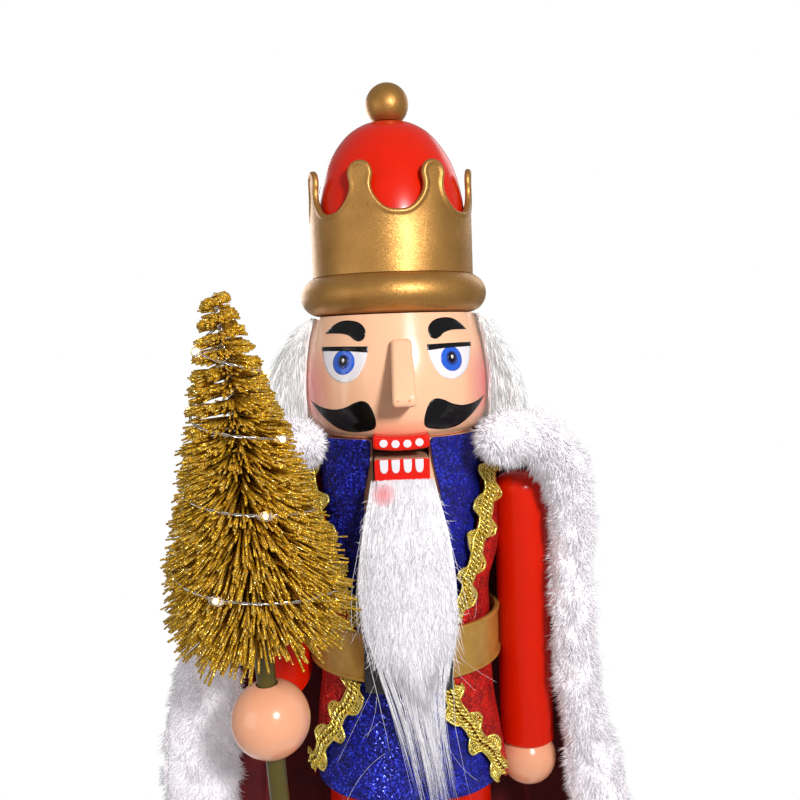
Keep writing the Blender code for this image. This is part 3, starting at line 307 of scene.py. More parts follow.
# ---------------------------------------------------------------- mesh helpers


def unit(v):
    return v / (np.linalg.norm(v, axis=-1, keepdims=True) + 1e-12)


def xyz(x, y, z):
    return np.stack(np.broadcast_arrays(x, y, z), -1)


def polar(r, angle, z):
    """Points at an angle in radians from the front."""
    return xyz(r * np.sin(angle), -r * np.cos(angle), z)


def lengths(points, axis=0):
    return np.linalg.norm(np.diff(points, axis=axis), axis=-1)


def along_path(points):
    """How far each point lies along the path."""
    return np.concatenate([[0], np.cumsum(lengths(points))])


def mesh_of(name, points, *face_sets):
    """A mesh from an array of points and arrays of faces, each with its own number of corners."""
    points = np.asarray(points, np.float64).reshape(-1, 3)
    sets = [np.asarray(f, np.int32) for f in face_sets if len(f)]
    mesh = bpy.data.meshes.new(name)
    mesh.vertices.add(len(points))
    mesh.vertices.foreach_set("co", points.ravel())
    corners = np.concatenate([f.ravel() for f in sets])
    mesh.loops.add(len(corners))
    mesh.loops.foreach_set("vertex_index", corners)
    totals = np.concatenate([np.full(len(f), f.shape[1], np.int32) for f in sets])
    starts = np.concatenate([[0], np.cumsum(totals)[:-1]]).astype(np.int32)
    mesh.polygons.add(len(totals))
    mesh.polygons.foreach_set("loop_start", starts)
    mesh.polygons.foreach_set("loop_total", totals)
    mesh.update(calc_edges=True)
    mesh.validate()
    return mesh


def edited(mesh, change, *others):
    """Does a bmesh change to a mesh, joined with others first."""
    work = bmesh.new()
    for part in (mesh, *others):
        work.from_mesh(part)
    change(work)
    work.to_mesh(mesh)
    work.free()
    return mesh


def outwards(mesh):
    return edited(mesh, lambda work: bmesh.ops.recalc_face_normals(work, faces=work.faces))


def outside(mesh):
    """Turns an open sheet's faces away from the figure's axis."""

    def turn(work):
        bmesh.ops.recalc_face_normals(work, faces=work.faces)
        if sum(f.calc_center_median().xy.dot(f.normal.xy) for f in work.faces) < 0:
            bmesh.ops.reverse_faces(work, faces=work.faces)

    return edited(mesh, turn)


def merged(name, *meshes):
    """Several meshes as one."""
    made = edited(bpy.data.meshes.new(name), lambda work: None, *meshes)
    for mesh in meshes:
        bpy.data.meshes.remove(mesh)
    made.name = name
    return made


def shown(name, data):
    made = bpy.data.objects.new(name, data)
    bpy.context.scene.collection.objects.link(made)
    return made


def piece(name, mesh, look, body="figure", stands_for=(), angle=40, slot=None):
    """Shows a mesh as a piece that rides on a body."""
    made = shown(name, mesh)
    mesh.materials.append(LOOKS[look].mat)
    mesh.shade_smooth()
    if angle:
        mesh.set_sharp_from_angle(angle=radians(angle))
    if stands_for:
        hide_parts(stands_for)
    if body:
        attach(made, body)
    return made


def grid_faces(rows, columns, wrap=False):
    """Quads over a grid of points, joined round in its columns where it wraps."""
    r = np.arange(rows - 1)[:, None]
    c = np.arange(columns if wrap else columns - 1)[None, :]
    n = (c + 1) % columns
    quads = [r * columns + c, r * columns + n, (r + 1) * columns + n, (r + 1) * columns + c]
    return np.stack(np.broadcast_arrays(*quads), -1).reshape(-1, 4)


def catmull(p, t):
    """Points at the places t along a Catmull-Rom curve through p, without its first and last."""
    i = np.minimum(t.astype(int), len(p) - 4)
    f = (t - i)[:, None]
    a, b, c, d = p[i], p[i + 1], p[i + 2], p[i + 3]
    return 0.5 * (2 * b + (c - a) * f + (2 * a - 5 * b + 4 * c - d) * f**2 + (3 * b - a - 3 * c + d) * f**3)


def smooth(points, count, closed=False):
    """count points along a curve through these points."""
    p = np.asarray(points, float)
    p = np.vstack([p[-1], p, p[:2]] if closed else [2 * p[0] - p[1], p, 2 * p[-1] - p[-2]])
    return catmull(p, np.linspace(0, len(p) - 3, count, endpoint=not closed))


def turned_mesh(name, profile, steps=96, at=(0, 0, 0)):
    """A profile of (radius, height) in mm turned about Z. It starts and ends on the axis, or is a
    closed ring's section."""
    profile = np.asarray(profile, float) * MM
    ring = polar(1, np.arange(steps) * TURN / steps, 0)
    axial = profile[:, 0] < 1e-9
    points, rows, threes, fours = [], [], [], []
    count = 0
    for (radius, height), point in zip(profile, axial):
        points.append([[0, 0, height]] if point else ring * radius + [0, 0, height])
        rows.append(count + np.arange(steps) * (not point))
        count += 1 if point else steps
    for k in range(len(rows) - bool(axial[0] or axial[-1])):
        n = (k + 1) % len(rows)
        quads = np.stack([rows[k], np.roll(rows[k], -1), np.roll(rows[n], -1), rows[n]], -1)
        if axial[k] != axial[n]:
            threes.append(quads[:, [0, 2, 3] if axial[k] else [0, 1, 3]])
        elif not axial[k]:
            fours.append(quads)
    faces = [np.vstack(f) for f in (threes, fours) if f]
    return outwards(mesh_of(name, np.vstack(points) + np.asarray(at) * MM, *faces))


def turned(name, profile, look, stands_for=(), at=(0, 0, 0), steps=96):
    return piece(name, turned_mesh(name, profile, steps, at), look, stands_for=stands_for)


def arc(centre_r, centre_z, radius, start, end, count, tall=1.0):
    """Points of an arc in (radius, height), its angles from +radius towards +height, in degrees."""
    angles = np.radians(np.linspace(start, end, count))
    return [(centre_r + radius * cos(a), centre_z + tall * radius * sin(a)) for a in angles]


def oval(x, z, wide, tall, count):
    return [(x + wide * cos(a), z + tall * sin(a)) for a in np.linspace(0, TURN, count, endpoint=False)]


def tubes(name, paths, radii, sides=3, pointed=True):
    """Many thin solids at once, in mm. paths is (count, steps, 3). Each ends in a point or a flat cap."""
    paths = np.asarray(paths, float) * MM
    count, steps, _ = paths.shape
    radii = np.broadcast_to(np.asarray(radii, float) * MM, (count, steps))
    tangent = unit(np.gradient(paths, axis=1))
    guide = rng.normal(size=(count, 1, 3))
    side = unit(np.cross(np.broadcast_to(guide, tangent.shape), tangent))
    other = np.cross(tangent, side)
    rings = steps - 1 if pointed else steps
    angle = (np.arange(sides) * TURN / sides)[:, None]
    out = side[:, :rings, None] * np.cos(angle) + other[:, :rings, None] * np.sin(angle)
    points = (paths[:, :rings, None] + out * radii[:, :rings, None, None]).reshape(count, rings * sides, 3)
    if pointed:
        points = np.concatenate([points, paths[:, -1:, :]], 1)
    first = np.arange(count)[:, None, None] * points.shape[1]
    last = (rings - 1) * sides + np.arange(sides)
    end = np.stack([last, np.roll(last, -1), np.full(sides, rings * sides)], -1) if pointed else last[None]
    sets = [grid_faces(rings, sides, True), np.arange(sides)[::-1][None], end]
    return mesh_of(name, points, *[(f[None] + first).reshape(-1, f.shape[1]) for f in sets])


def apply(made):
    """Makes a piece's modifiers part of its mesh."""
    graph = bpy.context.evaluated_depsgraph_get()
    mesh = bpy.data.meshes.new_from_object(made.evaluated_get(graph))
    made.modifiers.clear()
    made.data = mesh


def cut(made, *cutters):
    """Takes closed meshes out of a piece."""
    for mesh in cutters:
        tool = shown("cutter", mesh)
        made.modifiers.new("cut", "BOOLEAN").object = tool
        apply(made)
        bpy.data.objects.remove(tool)
    made.data.set_sharp_from_angle(angle=radians(35))


def rod_mesh(start, end, radius, steps=40):
    start, end = Vector(start) * MM, Vector(end) * MM
    long = (end - start).length / MM
    mesh = turned_mesh("rod", [(0, 0), (radius, 0), (radius, long), (0, long)], steps)
    turn = Vector((0, 0, 1)).rotation_difference(end - start).to_matrix().to_4x4()
    mesh.transform(Matrix.Translation(start) @ turn)
    return mesh


def cube_mesh(matrix, size):
    """A block of this size in mm, put in place by a matrix."""
    scale = Matrix.Diagonal((*(Vector(size) * MM), 1))
    change = lambda work: bmesh.ops.create_cube(work, size=1, matrix=matrix @ scale)
    return edited(bpy.data.meshes.new("block"), change)


def box_mesh(low, high):
    low, high = Vector(low), Vector(high)
    return cube_mesh(Matrix.Translation((low + high) * MM / 2), high - low)


def board_mesh(outline, low, high, axis=1):
    """A closed outline in mm, made solid between two depths. Along y it is (x, z); along x it is (y, z)."""
    outline = np.asarray(outline, float)
    count = len(outline)
    points = np.vstack([np.insert(outline, axis, depth, axis=1) for depth in (low, high)]) * MM
    i = np.arange(count)
    sides = np.stack([i, (i + 1) % count, (i + 1) % count + count, i + count], -1)
    return outwards(mesh_of("board", points, [i], [i[::-1] + count], sides))


def rounded(made, width, segments=3, angle=35):
    bevel = made.modifiers.new("round", "BEVEL")
    bevel.width = width * MM
    bevel.segments = segments
    bevel.limit_method = "ANGLE"
    bevel.angle_limit = radians(angle)
    bevel.harden_normals = False


def blend(table, at):
    """Reads (position, value) rows by straight lines."""
    rows = np.array(sorted(table), float)
    return np.interp(at, rows[:, 0], rows[:, 1])


# ---------------------------------------------------------------- dimensions shared with the CAD, in mm

SHOULDER_X = 40.7
TREE_HAND = Vector((-SHOULDER_X, -45.0, 189.8))
STAFF_AXIS = Vector((-0.05, -0.085, 1.0)).normalized()
TREE_SHAPE = [(205, 14), (210, 20), (216, 23), (222, 24.8), (228, 25), (240, 23.4), (259, 17.9), (275, 13.6)]
TREE_SHAPE += [(291, 9.2), (305, 5.0), (311, 3.0)]
TORSO_SHAPE = [(157, 28.2), (163, 27.8), (176, 26.6), (188, 25.6), (267, 25.6)]
EDGE_SHAPE = [(156, 62), (163, 54), (176, 39), (188, 28), (200, 26), (210, 29), (227, 46), (240, 58), (255, 72)]
EDGE_SHAPE += [(267, 84)]
EDGE_TWIST = [(188, 6.5), (207, 0)]
COLLAR_SHAPE = [(227, 22), (240, 26.5), (250, 26), (260, 21), (267.6, 19)]
HEAD_SHAPE = [(23.5, 267.3), (25.8, 268.4), (27.6, 270.5), (29.1, 274), (29.8, 280), (29.6, 287), (28.7, 294)]
HEAD = smooth([*HEAD_SHAPE, (27.2, 301), (26.2, 305.5)], 60)
FRONT_LEFT = [(25.5, -29.5, 266), (37, -23, 267), (47, -17, 262.5), (53.5, -13.2, 250), (54.8, -12.4, 232)]
FRONT_LEFT += [(54.6, -12.2, 200), (57, -11.5, 176), (61.5, -11, 150), (66, -11.5, 120), (70, -12, 90)]
FRONT_LEFT += [(74, -12, 64)]
FRONT_RIGHT = [(-25.5, -29.5, 266), (-37, -23, 267), (-47, -17, 262.5), (-55, -12, 249), (-60, -10.5, 232)]
FRONT_RIGHT += [(-63.5, -10.5, 205), (-67, -12, 176), (-69, -12, 150), (-71, -12, 120), (-74, -12, 90)]
FRONT_RIGHT += [(-76.5, -12, 64)]
WIDTH_LEFT = [(64, 11.5), (120, 12.5), (150, 11.5), (172, 8.6), (247, 8.6), (259, 10), (267, 9.4)]
WIDTH_RIGHT = [(64, 11.5), (120, 13), (176, 14), (196, 11.5), (215, 9.5), (247, 8.6), (259, 10), (267, 9.4)]
# The cape's height, and its half widths on the left, on the right and to the back.
CAPE_SHAPE = [(62, 76, 78, 64), (90, 71.5, 76, 61), (120, 66.5, 73, 58), (150, 62.5, 70, 55.5)]
CAPE_SHAPE += [(176, 59, 67.5, 53), (200, 57, 64, 48.5), (230, 55, 59, 44), (245, 53, 54.5, 42)]
CAPE_SHAPE += [(251, 49.5, 49.5, 40), (255.5, 44, 44, 37.5)]


def staff_at(z):
    """The axis of the staff and of the stem above it, which leans to the left."""
    bend = Vector((-2.3 * max(0.0, (z - 232) / 80) ** 2, 0, 0))
    return TREE_HAND + STAFF_AXIS * ((z - TREE_HAND.z) / STAFF_AXIS.z) + bend


def edge_angle(z, side):
    """Where the coat's front edge lies: its angle from the front in radians."""
    return np.radians(blend(EDGE_SHAPE, z) - side * blend(EDGE_TWIST, z))


# ---------------------------------------------------------------- crown

CROWN_R, NOTCHES, CROWN_TURN, BAND_FOOT, LIP = 26.4, 7, radians(4.0), 318.15, 2.3
CROWN_HALF = [(0, 351.9), (1.6, 351.6), (2.9, 350.8), (3.7, 349.6), (4.1, 348.2), (4.05, 346.9), (3.7, 345.4)]
CROWN_HALF += [(3.65, 343.8), (4.25, 341.9), (5.4, 340.1), (6.9, 338.5), (8.6, 337.4), (10.2, 336.95)]
CROWN_HALF += [(11.848, 336.9)]
CROWN_LIP = [(2.0, 24.8), (0.9, 24.85), (0.3, 25.0), (0.05, 25.3), (0.0, 25.7), (0.1, 26.2), (0.35, 26.65)]
CROWN_LIP += [(0.8, 26.85), (1.3, 26.75), (1.75, 26.45), (2.3, 26.38)]
DOME = [(24.4, 318.9), (24.4, 330), (24.2, 338), (23.1, 345.5), (20.9, 353), (17.6, 359), (13.6, 363.8)]


def make_crown():
    """The band's wall is turned up round its wavy edge. A row is a share of the height and a depth
    in from the edge at a radius."""
    pitch = TURN * CROWN_R / NOTCHES
    wide = NOTCHES * pitch
    half = np.array(CROWN_HALF)
    one = np.vstack([half, np.array([pitch, 0]) + half[::-1][1:-1] * [-1, 1]])
    edge = np.vstack([one + [k * pitch, 0] for k in range(NOTCHES)])
    repeated = np.vstack([edge[-1] - [wide, 0], edge, edge[:2] + [wide, 0]])
    count = 960
    curve = catmull(repeated, np.linspace(0, len(edge), count, endpoint=False))
    ahead = np.roll(curve, -1, 0) - np.roll(curve, 1, 0)
    ahead[:, 0] = (ahead[:, 0] + wide / 2) % wide - wide / 2
    ahead = unit(ahead)
    inward = np.stack([ahead[:, 1], -ahead[:, 0]], -1)
    bottom = np.stack([np.linspace(0, wide, count, endpoint=False), np.full(count, BAND_FOOT)], -1)
    section = [(0.0, LIP, 24.8), (0.6, LIP, 24.8), *[(1.0, depth, radius) for depth, radius in CROWN_LIP]]
    section += [(share, LIP, CROWN_R) for share in (0.75, 0.5, 0.25, 0.0)]
    rows = []
    for share, depth, radius in section:
        place = bottom + (curve + inward * depth - bottom) * share
        rows.append(polar(radius, place[:, 0] / CROWN_R + CROWN_TURN + pi / NOTCHES, place[:, 1]))
    faces = grid_faces(len(rows) + 1, count, True) % (len(rows) * count)
    mesh = outwards(mesh_of("crown_points", np.stack(rows) * MM, faces))
    piece("crown_points", mesh, "gold", stands_for="crown_band", angle=60)
    roll = [(0, 305.9), (23, 305.8), *arc(24.4, 312.1, 6.1, -86, 86, 22, 1.02), (23, 318.3), (0, 318.3)]
    turned("crown_rim", roll, "gold", "crown_roll")
    turned("crown_cap", [(0, 318.8), *smooth([*DOME, (9, 366.8), (4.4, 368.2)], 40), (0, 368.4)], "red", "crown_dome")
    neck = [(0, 358.2), (1.7, 358.2), (1.7, 368.5), (4.1, 368.6), (4.0, 368.9)]
    ball = [*neck, *arc(0, 374.0, 7.0, -52, 89, 26), (0, 381.0)]
    turned("crown_ball", ball, "gold", "crown_finial", steps=64)


# ---------------------------------------------------------------- face

# Outlines on the head: an angle from the front in degrees and a height in mm. A third value marks a
# sharp corner.
PAINT_R = 29
BROW = [(53.8, 300.1, 1), (48.0, 302.1), (40.8, 303.6), (33.0, 303.9), (25.6, 303.2), (21.2, 301.5)]
BROW += [(20.3, 299.5), (21.7, 297.9), (24.8, 297.4), (28.3, 298.1), (31.6, 299.2), (37.3, 299.9)]
BROW += [(45.0, 300.1)]
LID = [(18.2, 295.8, 1), (34.2, 296.0), (55.0, 296.1, 1), (54.4, 294.8, 1), (33.8, 294.6), (18.4, 294.0, 1)]
WHITE = [(18.5, 294.6, 1), (53.8, 295.0, 1), (51.6, 291.7), (47.9, 288.7), (42.3, 286.3), (36.0, 285.1)]
WHITE += [(30.3, 285.2), (25.0, 286.6), (21.2, 289.5), (19.2, 292.2)]
MOUSTACHE = [(69.0, 278.9, 1), (54.0, 277.2), (42.0, 276.7), (33.5, 277.5), (27.5, 278.8), (22.2, 279.4)]
MOUSTACHE += [(18.2, 278.4), (15.7, 275.8), (14.7, 272.8), (16.6, 270.7), (24.0, 269.8), (33.5, 269.6)]
MOUSTACHE += [(42.4, 270.5), (51.5, 273.2), (60.0, 276.0)]
# Each mark's outline, look and height over the wood in mm.
MARKS = {
    "brow": (BROW, "black", 0.10),
    "eye_white": (WHITE, "white", 0.07),
    "iris": (oval(34.7, 291.2, 8.1, 3.8, 18), "iris", 0.13),
    "iris_ring": (oval(34.7, 291.4, 4.2, 2.15, 18), "iris_dark", 0.17),
    "pupil": (oval(34.7, 291.6, 2.9, 1.55, 18), "black", 0.21),
    "glint": (oval(34.9, 291.8, 1.0, 0.6, 10), "white", 0.25),
    "lid": (LID, "black", 0.2),
    "moustache": (MOUSTACHE, "black", 0.10),
}
NOSE = [(-28.2, 297.6), (-30.9, 297.5), (-33.4, 294.6), (-36.2, 290.9), (-39.3, 286.2), (-41.5, 282.6)]
NOSE += [(-42.2, 280.2), (-41.6, 278.3), (-39, 277.9)]


def outline_of(points, per=9):
    """A closed outline through these points, with this many points for each."""
    corners = [i for i, p in enumerate(points) if len(p) > 2]
    flat = [p[:2] for p in points]
    if not corners:
        return smooth(flat, per * len(flat), closed=True)
    found = []
    for start, end in zip(corners, corners[1:] + corners[:1]):
        span = (end - start) % len(flat) or len(flat)
        part = [flat[(start + j) % len(flat)] for j in range(span + 1)]
        found.append(smooth(part, per * span + 1)[:-1])
    return np.vstack(found)


def painted(name, points, look, lift, side):
    """A coat of paint on the head, as a thin sheet that follows it."""
    ring = outline_of(points)
    flat = np.stack([np.radians(ring[:, 0]) * PAINT_R, ring[:, 1]], -1)
    spots = [np.arange(low + 0.35, high, 0.7) for low, high in zip(flat.min(0), flat.max(0))]
    spots = np.stack(np.meshgrid(*spots), -1).reshape(-1, 2)
    a, b, s = flat, np.roll(flat, -1, 0), spots[:, None]
    crosses = (a[:, 1] > s[..., 1]) != (b[:, 1] > s[..., 1])
    slope = (b[:, 0] - a[:, 0]) / (b[:, 1] - a[:, 1] + 1e-12)
    inside = (crosses & (s[..., 0] < a[:, 0] + (s[..., 1] - a[:, 1]) * slope)).sum(1) % 2 == 1
    near = np.linalg.norm(s - flat, axis=2).min(1) > 0.22
    every = [Vector(p) for p in np.vstack([flat, spots[inside & near]])]
    verts, _, faces, *_ = delaunay_2d_cdt(every, [], [list(range(len(flat)))], 1, 1e-6)
    angle, z = np.array([[v.x / PAINT_R, v.y] for v in verts]).T
    mesh = bpy.data.meshes.new(name)
    points = polar(np.interp(z, HEAD[:, 1], HEAD[:, 0]) + lift, side * angle, z) * MM
    mesh.from_pydata(points.tolist(), [], [tuple(f) for f in faces])
    skin = piece(name, outside(mesh), look, angle=0).modifiers.new("paint", "SOLIDIFY")
    skin.thickness = 0.2 * MM
    skin.offset = -1


def make_face():
    turned("painted_head", [(0, 267.3), *HEAD, (0, 305.5)], "flesh", "head")
    for side, word in SIDES:
        for mark, row in MARKS.items():
            painted(f"{word}_{mark}", *row, side)
    outline = [*smooth(NOSE, 30), (-26, 277.9), (-26, 297.6)]
    nose = piece("nose_block", board_mesh(outline, -3.4, 3.4, 0), "flesh", stands_for="nose")
    for v in nose.data.vertices:
        down = (297.6 * MM - v.co.z) / (20 * MM)
        v.co.x = v.co.x * (0.92 + 0.14 * down) + 1.1 * MM
    rounded(nose, 1.5, 6)
    for i, x in enumerate((-0.8, 2.5)):
        speck = turned_mesh("speck", [(0, 0), (0.28, 0), (0.2, 0.12), (0, 0.16)], 16)
        place = Matrix.Translation((x * MM, -42.1 * MM, 279.9 * MM))
        speck.transform(place @ Matrix.Rotation(radians(95), 4, "X"))
        piece(f"nose_speck_{i + 1}", speck, "mouth")
    bow = 0.011
    across = np.linspace(8.5, -8.5, 18)
    strip = [(x, 268.6 + bow * x * x) for x in across] + [(x, 264.4 + bow * x * x) for x in across[::-1]]
    upper = piece("upper_lip_strip", board_mesh(strip, -32.6, -22.5), "mouth", stands_for="upper_teeth")
    rounded(upper, 0.8, 4, 50)
    for i, x in enumerate((-5.3, -1.75, 1.8, 5.4)):
        dot = board_mesh(oval(x, 266.5 + bow * x * x, 1.25, 1.2, 28), -32.85, -32.3)
        rounded(piece(f"upper_tooth_{i + 1}", dot, "white", slot="red_paint"), 0.15, 2, 50)
    plate = [(-8.25, 255.5), (8.25, 255.5), (8.3, 261.6), (7.8, 262.0), (-7.8, 262.0), (-8.3, 261.6)]
    plate = board_mesh(plate, -32.8, -31.8)
    rounded(piece("lower_lip_plate", plate, "mouth", "jaw", stands_for="lower_teeth"), 0.25, 3, 30)
    half = 1.25
    for i, x in enumerate((-5.4, -1.9, 1.7, 5.2)):
        tip = [(x - half * 0.92 * cos(a), 259.2 - 1.4 * sin(a)) for a in np.linspace(0, pi, 14)]
        tooth = [(x - half, 261.9), (x - half, 260.4), *tip, (x + half, 260.4), (x + half, 261.9)]
        tooth = board_mesh(tooth, -33.0, -32.4)
        rounded(piece(f"lower_tooth_{i + 1}", tooth, "white", "jaw", slot="red_paint"), 0.12, 2, 40)


# ---------------------------------------------------------------- torso and clothes


def make_torso():
    shape = [(r, z) for z, r in TORSO_SHAPE[:-1]]
    torso = turned("painted_torso", [(0, 157), *shape, (25.2, 266.6), (24.6, 267), (0, 267)], "flesh", "torso")
    slot = [(-45, 300), (-45, 212), (-22, 212), (-8, 190), (8, 168), (45, 158), (45, 200), (30, 200), (8, 232)]
    cut(torso, board_mesh([*slot, (8, 300)], -8.8, 8.8, 0))


def flare(z, angle):
    """How far the coat's skirt stands out at a height in mm and an angle in radians: most in
    front, least under the arms."""
    side = np.abs(np.sin(angle)) ** 6
    return np.clip((192 - z) / 35, 0, 1) ** 1.3 * (7.6 * (1 - side) + 0.4)


def cloth_point(z, angle, inner):
    return polar(blend(TORSO_SHAPE, z) + inner + flare(z, angle), angle, z)


def wrinkles(points, amount, seed):
    """Moves a sheet in and out a little, in soft folds."""
    phase = seed * 1.7
    x, y, z = np.moveaxis(points, -1, 0)
    swing = np.sin(x * 0.23 + z * 0.11 + phase) * np.sin(z * 0.17 - x * 0.06 + 2 * phase)
    swing = swing + 0.5 * np.sin(x * 0.52 - z * 0.33 + phase)
    return points + unit(points * [1, 1, 0]) * (amount * swing)[..., None]


def cloth(name, points, look, stands_for, thickness, missing=None, **more):
    """A felt sheet through a grid of points in mm, with a real thickness and soft edges."""
    rows, columns, _ = points.shape
    faces = grid_faces(rows, columns)
    if missing is not None:
        faces = faces[~missing.ravel()]
    used = np.unique(faces)
    index = np.full(rows * columns, -1)
    index[used] = np.arange(len(used))
    mesh = outside(mesh_of(name, points.reshape(-1, 3)[used] * MM, index[faces]))
    made = piece(name, mesh, look, stands_for=stands_for, angle=0, **more)
    skin = made.modifiers.new("thickness", "SOLIDIFY")
    skin.thickness = thickness * MM
    skin.offset = 1
    soft = made.modifiers.new("soft", "SUBSURF")
    soft.levels = soft.render_levels = 1
    return made


def fan(*spans):
    """Angles that run through spans of (start, end, count), without their shared ends."""
    parts = [np.linspace(*span) for span in spans]
    return np.concatenate([part[1:-1] if i % 2 else part for i, part in enumerate(parts)])


def make_clothes():
    """The vest is open in a V over the jaw. The coat has a slot at the back for the jaw's lever."""
    side, middle = 16, 10
    heights = np.linspace(157.6, 267.6, 46)
    rows = []
    for z in heights:
        left, right = edge_angle(z, 1) + 0.12, edge_angle(z, -1) + 0.12
        v = radians(blend(COLLAR_SHAPE, z))
        row = cloth_point(z, fan((-right, -v, side + 1), (-v, v, middle + 1), (v, left, side + 1)), 0.6)
        row[:, :2] *= 1 + np.clip((z - 262) / 6, 0, 1) / 30
        rows.append(row)
    missing = np.zeros((len(heights) - 1, 2 * side + middle), bool)
    missing[heights[:-1] > 227, side : side + middle] = True
    cloth("blue_vest", wrinkles(np.stack(rows), 0.25, 1), "blue_felt", "vest", 0.9, missing)
    heights = np.linspace(156.2, 266.8, 46)
    tail = radians(19.5)
    rows = []
    for z in heights:
        left, right = edge_angle(z, 1), edge_angle(z, -1)
        angles = fan((left, pi - tail, 30), (pi - tail, pi + tail, 11), (pi + tail, TURN - right, 30))
        full = np.exp(-(((np.abs(angles - pi) - pi / 2) / 0.42) ** 4)) * np.exp(-(((z - 240) / 19) ** 4))
        rows.append(cloth_point(z, angles, 2.2 + 3.9 * full))
    missing = np.zeros((len(heights) - 1, len(angles) - 1), bool)
    missing[(heights[:-1] > 160) & (heights[1:] < 193), 29:39] = True
    cloth("red_coat", wrinkles(np.stack(rows), 0.25, 3), "red_felt", "coat", 0.8, missing)


def make_belt():
    inner, outer = 30.55, 31.4
    edge = [(outer, 194.0), (outer + 0.55, 193.8), (outer + 0.6, 193.2), (outer + 0.1, 192.7), (inner, 192.7)]
    top = [(inner, 208.4), (outer + 0.1, 208.4), (outer + 0.6, 207.9), (outer + 0.55, 207.3), (outer, 207.1)]
    middle = smooth([(outer, 207.1), (outer + 0.12, 204), (outer + 0.12, 197), (outer, 194.0)], 8)[1:-1]
    turned("gold_belt", [*top, *middle, *edge], "belt", "belt", steps=128)
    angles = np.linspace(-radians(25), radians(25), 22)
    rows = [polar(31.9, angles, z) for z in np.linspace(189.8, 211.2, 16)]
    # A black sheet over the belt's front behind the beard: painted shade, a dark plate where the beard's shadow
    # falls.
    cloth("beard_shade_plate", np.stack(rows), "plastic", "belt_buckle", 1.0, slot="buckle_black")


def edge_path(side, low, high, count):
    """Points up the coat's front edge and the direction out of it, on the cloth, in mm."""
    z = np.linspace(low, high, count)
    edge = edge_angle(z, side) + 0.03
    lifted = np.clip((z - 224) / 18, 0, 1)
    r = blend(TORSO_SHAPE, z) + 3.5 + flare(z, edge) + 1.3 * lifted
    return polar(r, side * edge, z), polar(1, side * edge * (1 - 0.42 * lifted), 0)


def make_braid(side, name, low, high):
    """Wavy gold gimp: rim cords with ribs and a plait of four strands along a snaking line."""
    point, out = edge_path(side, low, high, 420)
    along = along_path(point)
    tangent = unit(np.gradient(point, axis=0))
    across = np.cross(out, tangent)
    odd = np.sin(along * 0.37 + side) + 0.6 * np.sin(along * 0.83 + 2 * side)
    swing = np.sin(TURN * along / 11.5 + (side < 0) + 0.35 * odd) * (1 + 0.14 * odd)
    across = across * (1 + 0.16 * np.clip((point[:, 2] - 215) / 20, 0, 1))[:, None]
    middle = point + across * (0.5 * swing)[:, None] + out * (0.25 * odd * swing)[:, None]
    paths, radii, ribs = [], [], []

    def strand(lateral, lift, thick):
        paths.append(middle + across * np.reshape(lateral, (-1, 1)) + out * np.reshape(lift, (-1, 1)))
        radii.append(thick + 0 * along)

    for k in range(4):
        column, late = (1.02, 0) if k < 2 else (-1.02, 0.9)
        phase = TURN * along / 2.9 + pi * (k % 2) + late
        thick = 0.44 + 0.05 * np.sin(along * 2.1 + 2 * k)
        strand(column + 0.56 * np.sin(phase), 1.0 + 0.5 * np.cos(phase), thick)
    for rim in (-1, 1):
        crest = np.clip(rim * swing + 0.12, 0, 1) ** 0.7
        strand(rim * 1.95, 0.55, 0.34)
        strand(rim * (2.2 + 1.3 * crest), 0.35, 0.26)
        strand(rim * (2.3 + 2.5 * crest), 0.6, 0.42)
        for at in np.arange(0.4, along[-1], 0.62):
            i = int(np.searchsorted(along, at))
            if crest[i] >= 0.1:
                reach = np.linspace(1.9, 2.2 + 2.5 * crest[i], 5)[:, None]
                rib = middle[i] + across[i] * rim * reach + out[i] * 0.42
                ribs.append(rib + tangent[i] * 0.5 * sin(at * 1.3) * (reach - 1.9) / 2)
    guard = rng.bit_generator.state
    mesh = merged(name, tubes(name, paths, radii, 6, False), tubes(name, ribs, 0.24, 6, False))
    rng.bit_generator.state = guard
    return mesh


def make_braids():
    for side, word in SIDES:
        name = f"{word}_gimp"
        parts = make_braid(side, f"{name}_top", 209.2, 258.5), make_braid(side, f"{name}_low", 161.0, 191.8)
        mesh = merged(name, *parts)
        piece(name, mesh, "braid", stands_for=f"{word}_braid", angle=0)


# ---------------------------------------------------------------- arms, tree and lights


def make_arms():
    shoulder = [(9, 246.5), *arc(3.5, 246.5, 5.5, 5, 88, 14), (0, 252)]
    left, right = (SHOULDER_X, 0, 0), (-SHOULDER_X, 0, 0)
    sleeve = [(0, 159.6), (8.3, 159.6), (9, 160.3), *shoulder]
    turned("left_arm_sleeve", sleeve, "red", "left_sleeve", at=left, steps=64)
    radius, middle = 9.6, 153.6
    angles = np.linspace(-pi / 2 + 0.03, asin(5.7 / radius), 26)
    ball = [(radius * cos(a), middle + radius * sin(a)) for a in angles]
    turned("left_arm_hand", [(0, 144.0), *ball, (0, 159.3)], "hand", "left_hand", at=left, steps=64)
    elbow = Vector((-SHOULDER_X, 0, TREE_HAND.z))
    sleeve = [(0, 177), (9, 177), *shoulder]
    made = turned("right_arm_sleeve", sleeve, "red", "right_upper_sleeve", at=right, steps=64)
    cut(made, mitre_block(elbow, 1))
    mesh = rod_mesh(elbow + Vector((0, 12, 0)), TREE_HAND + Vector((0, 10.1, 0)), 9, 64)
    cut(piece("right_arm_forearm", mesh, "red", stands_for="right_forearm_sleeve"), mitre_block(elbow, -1))
    mesh = turned_mesh("hand", [(0, -11.4), *arc(0, 0, 11.4, -88, 59, 30), (0, 9.8)], 64)
    mesh.transform(Matrix.Translation(TREE_HAND * MM) @ Matrix.Rotation(radians(-90), 4, "X"))
    hand = piece("right_arm_hand", mesh, "hand", stands_for="right_hand")
    cut(hand, rod_mesh(staff_at(170), staff_at(210), 3.2, 32))


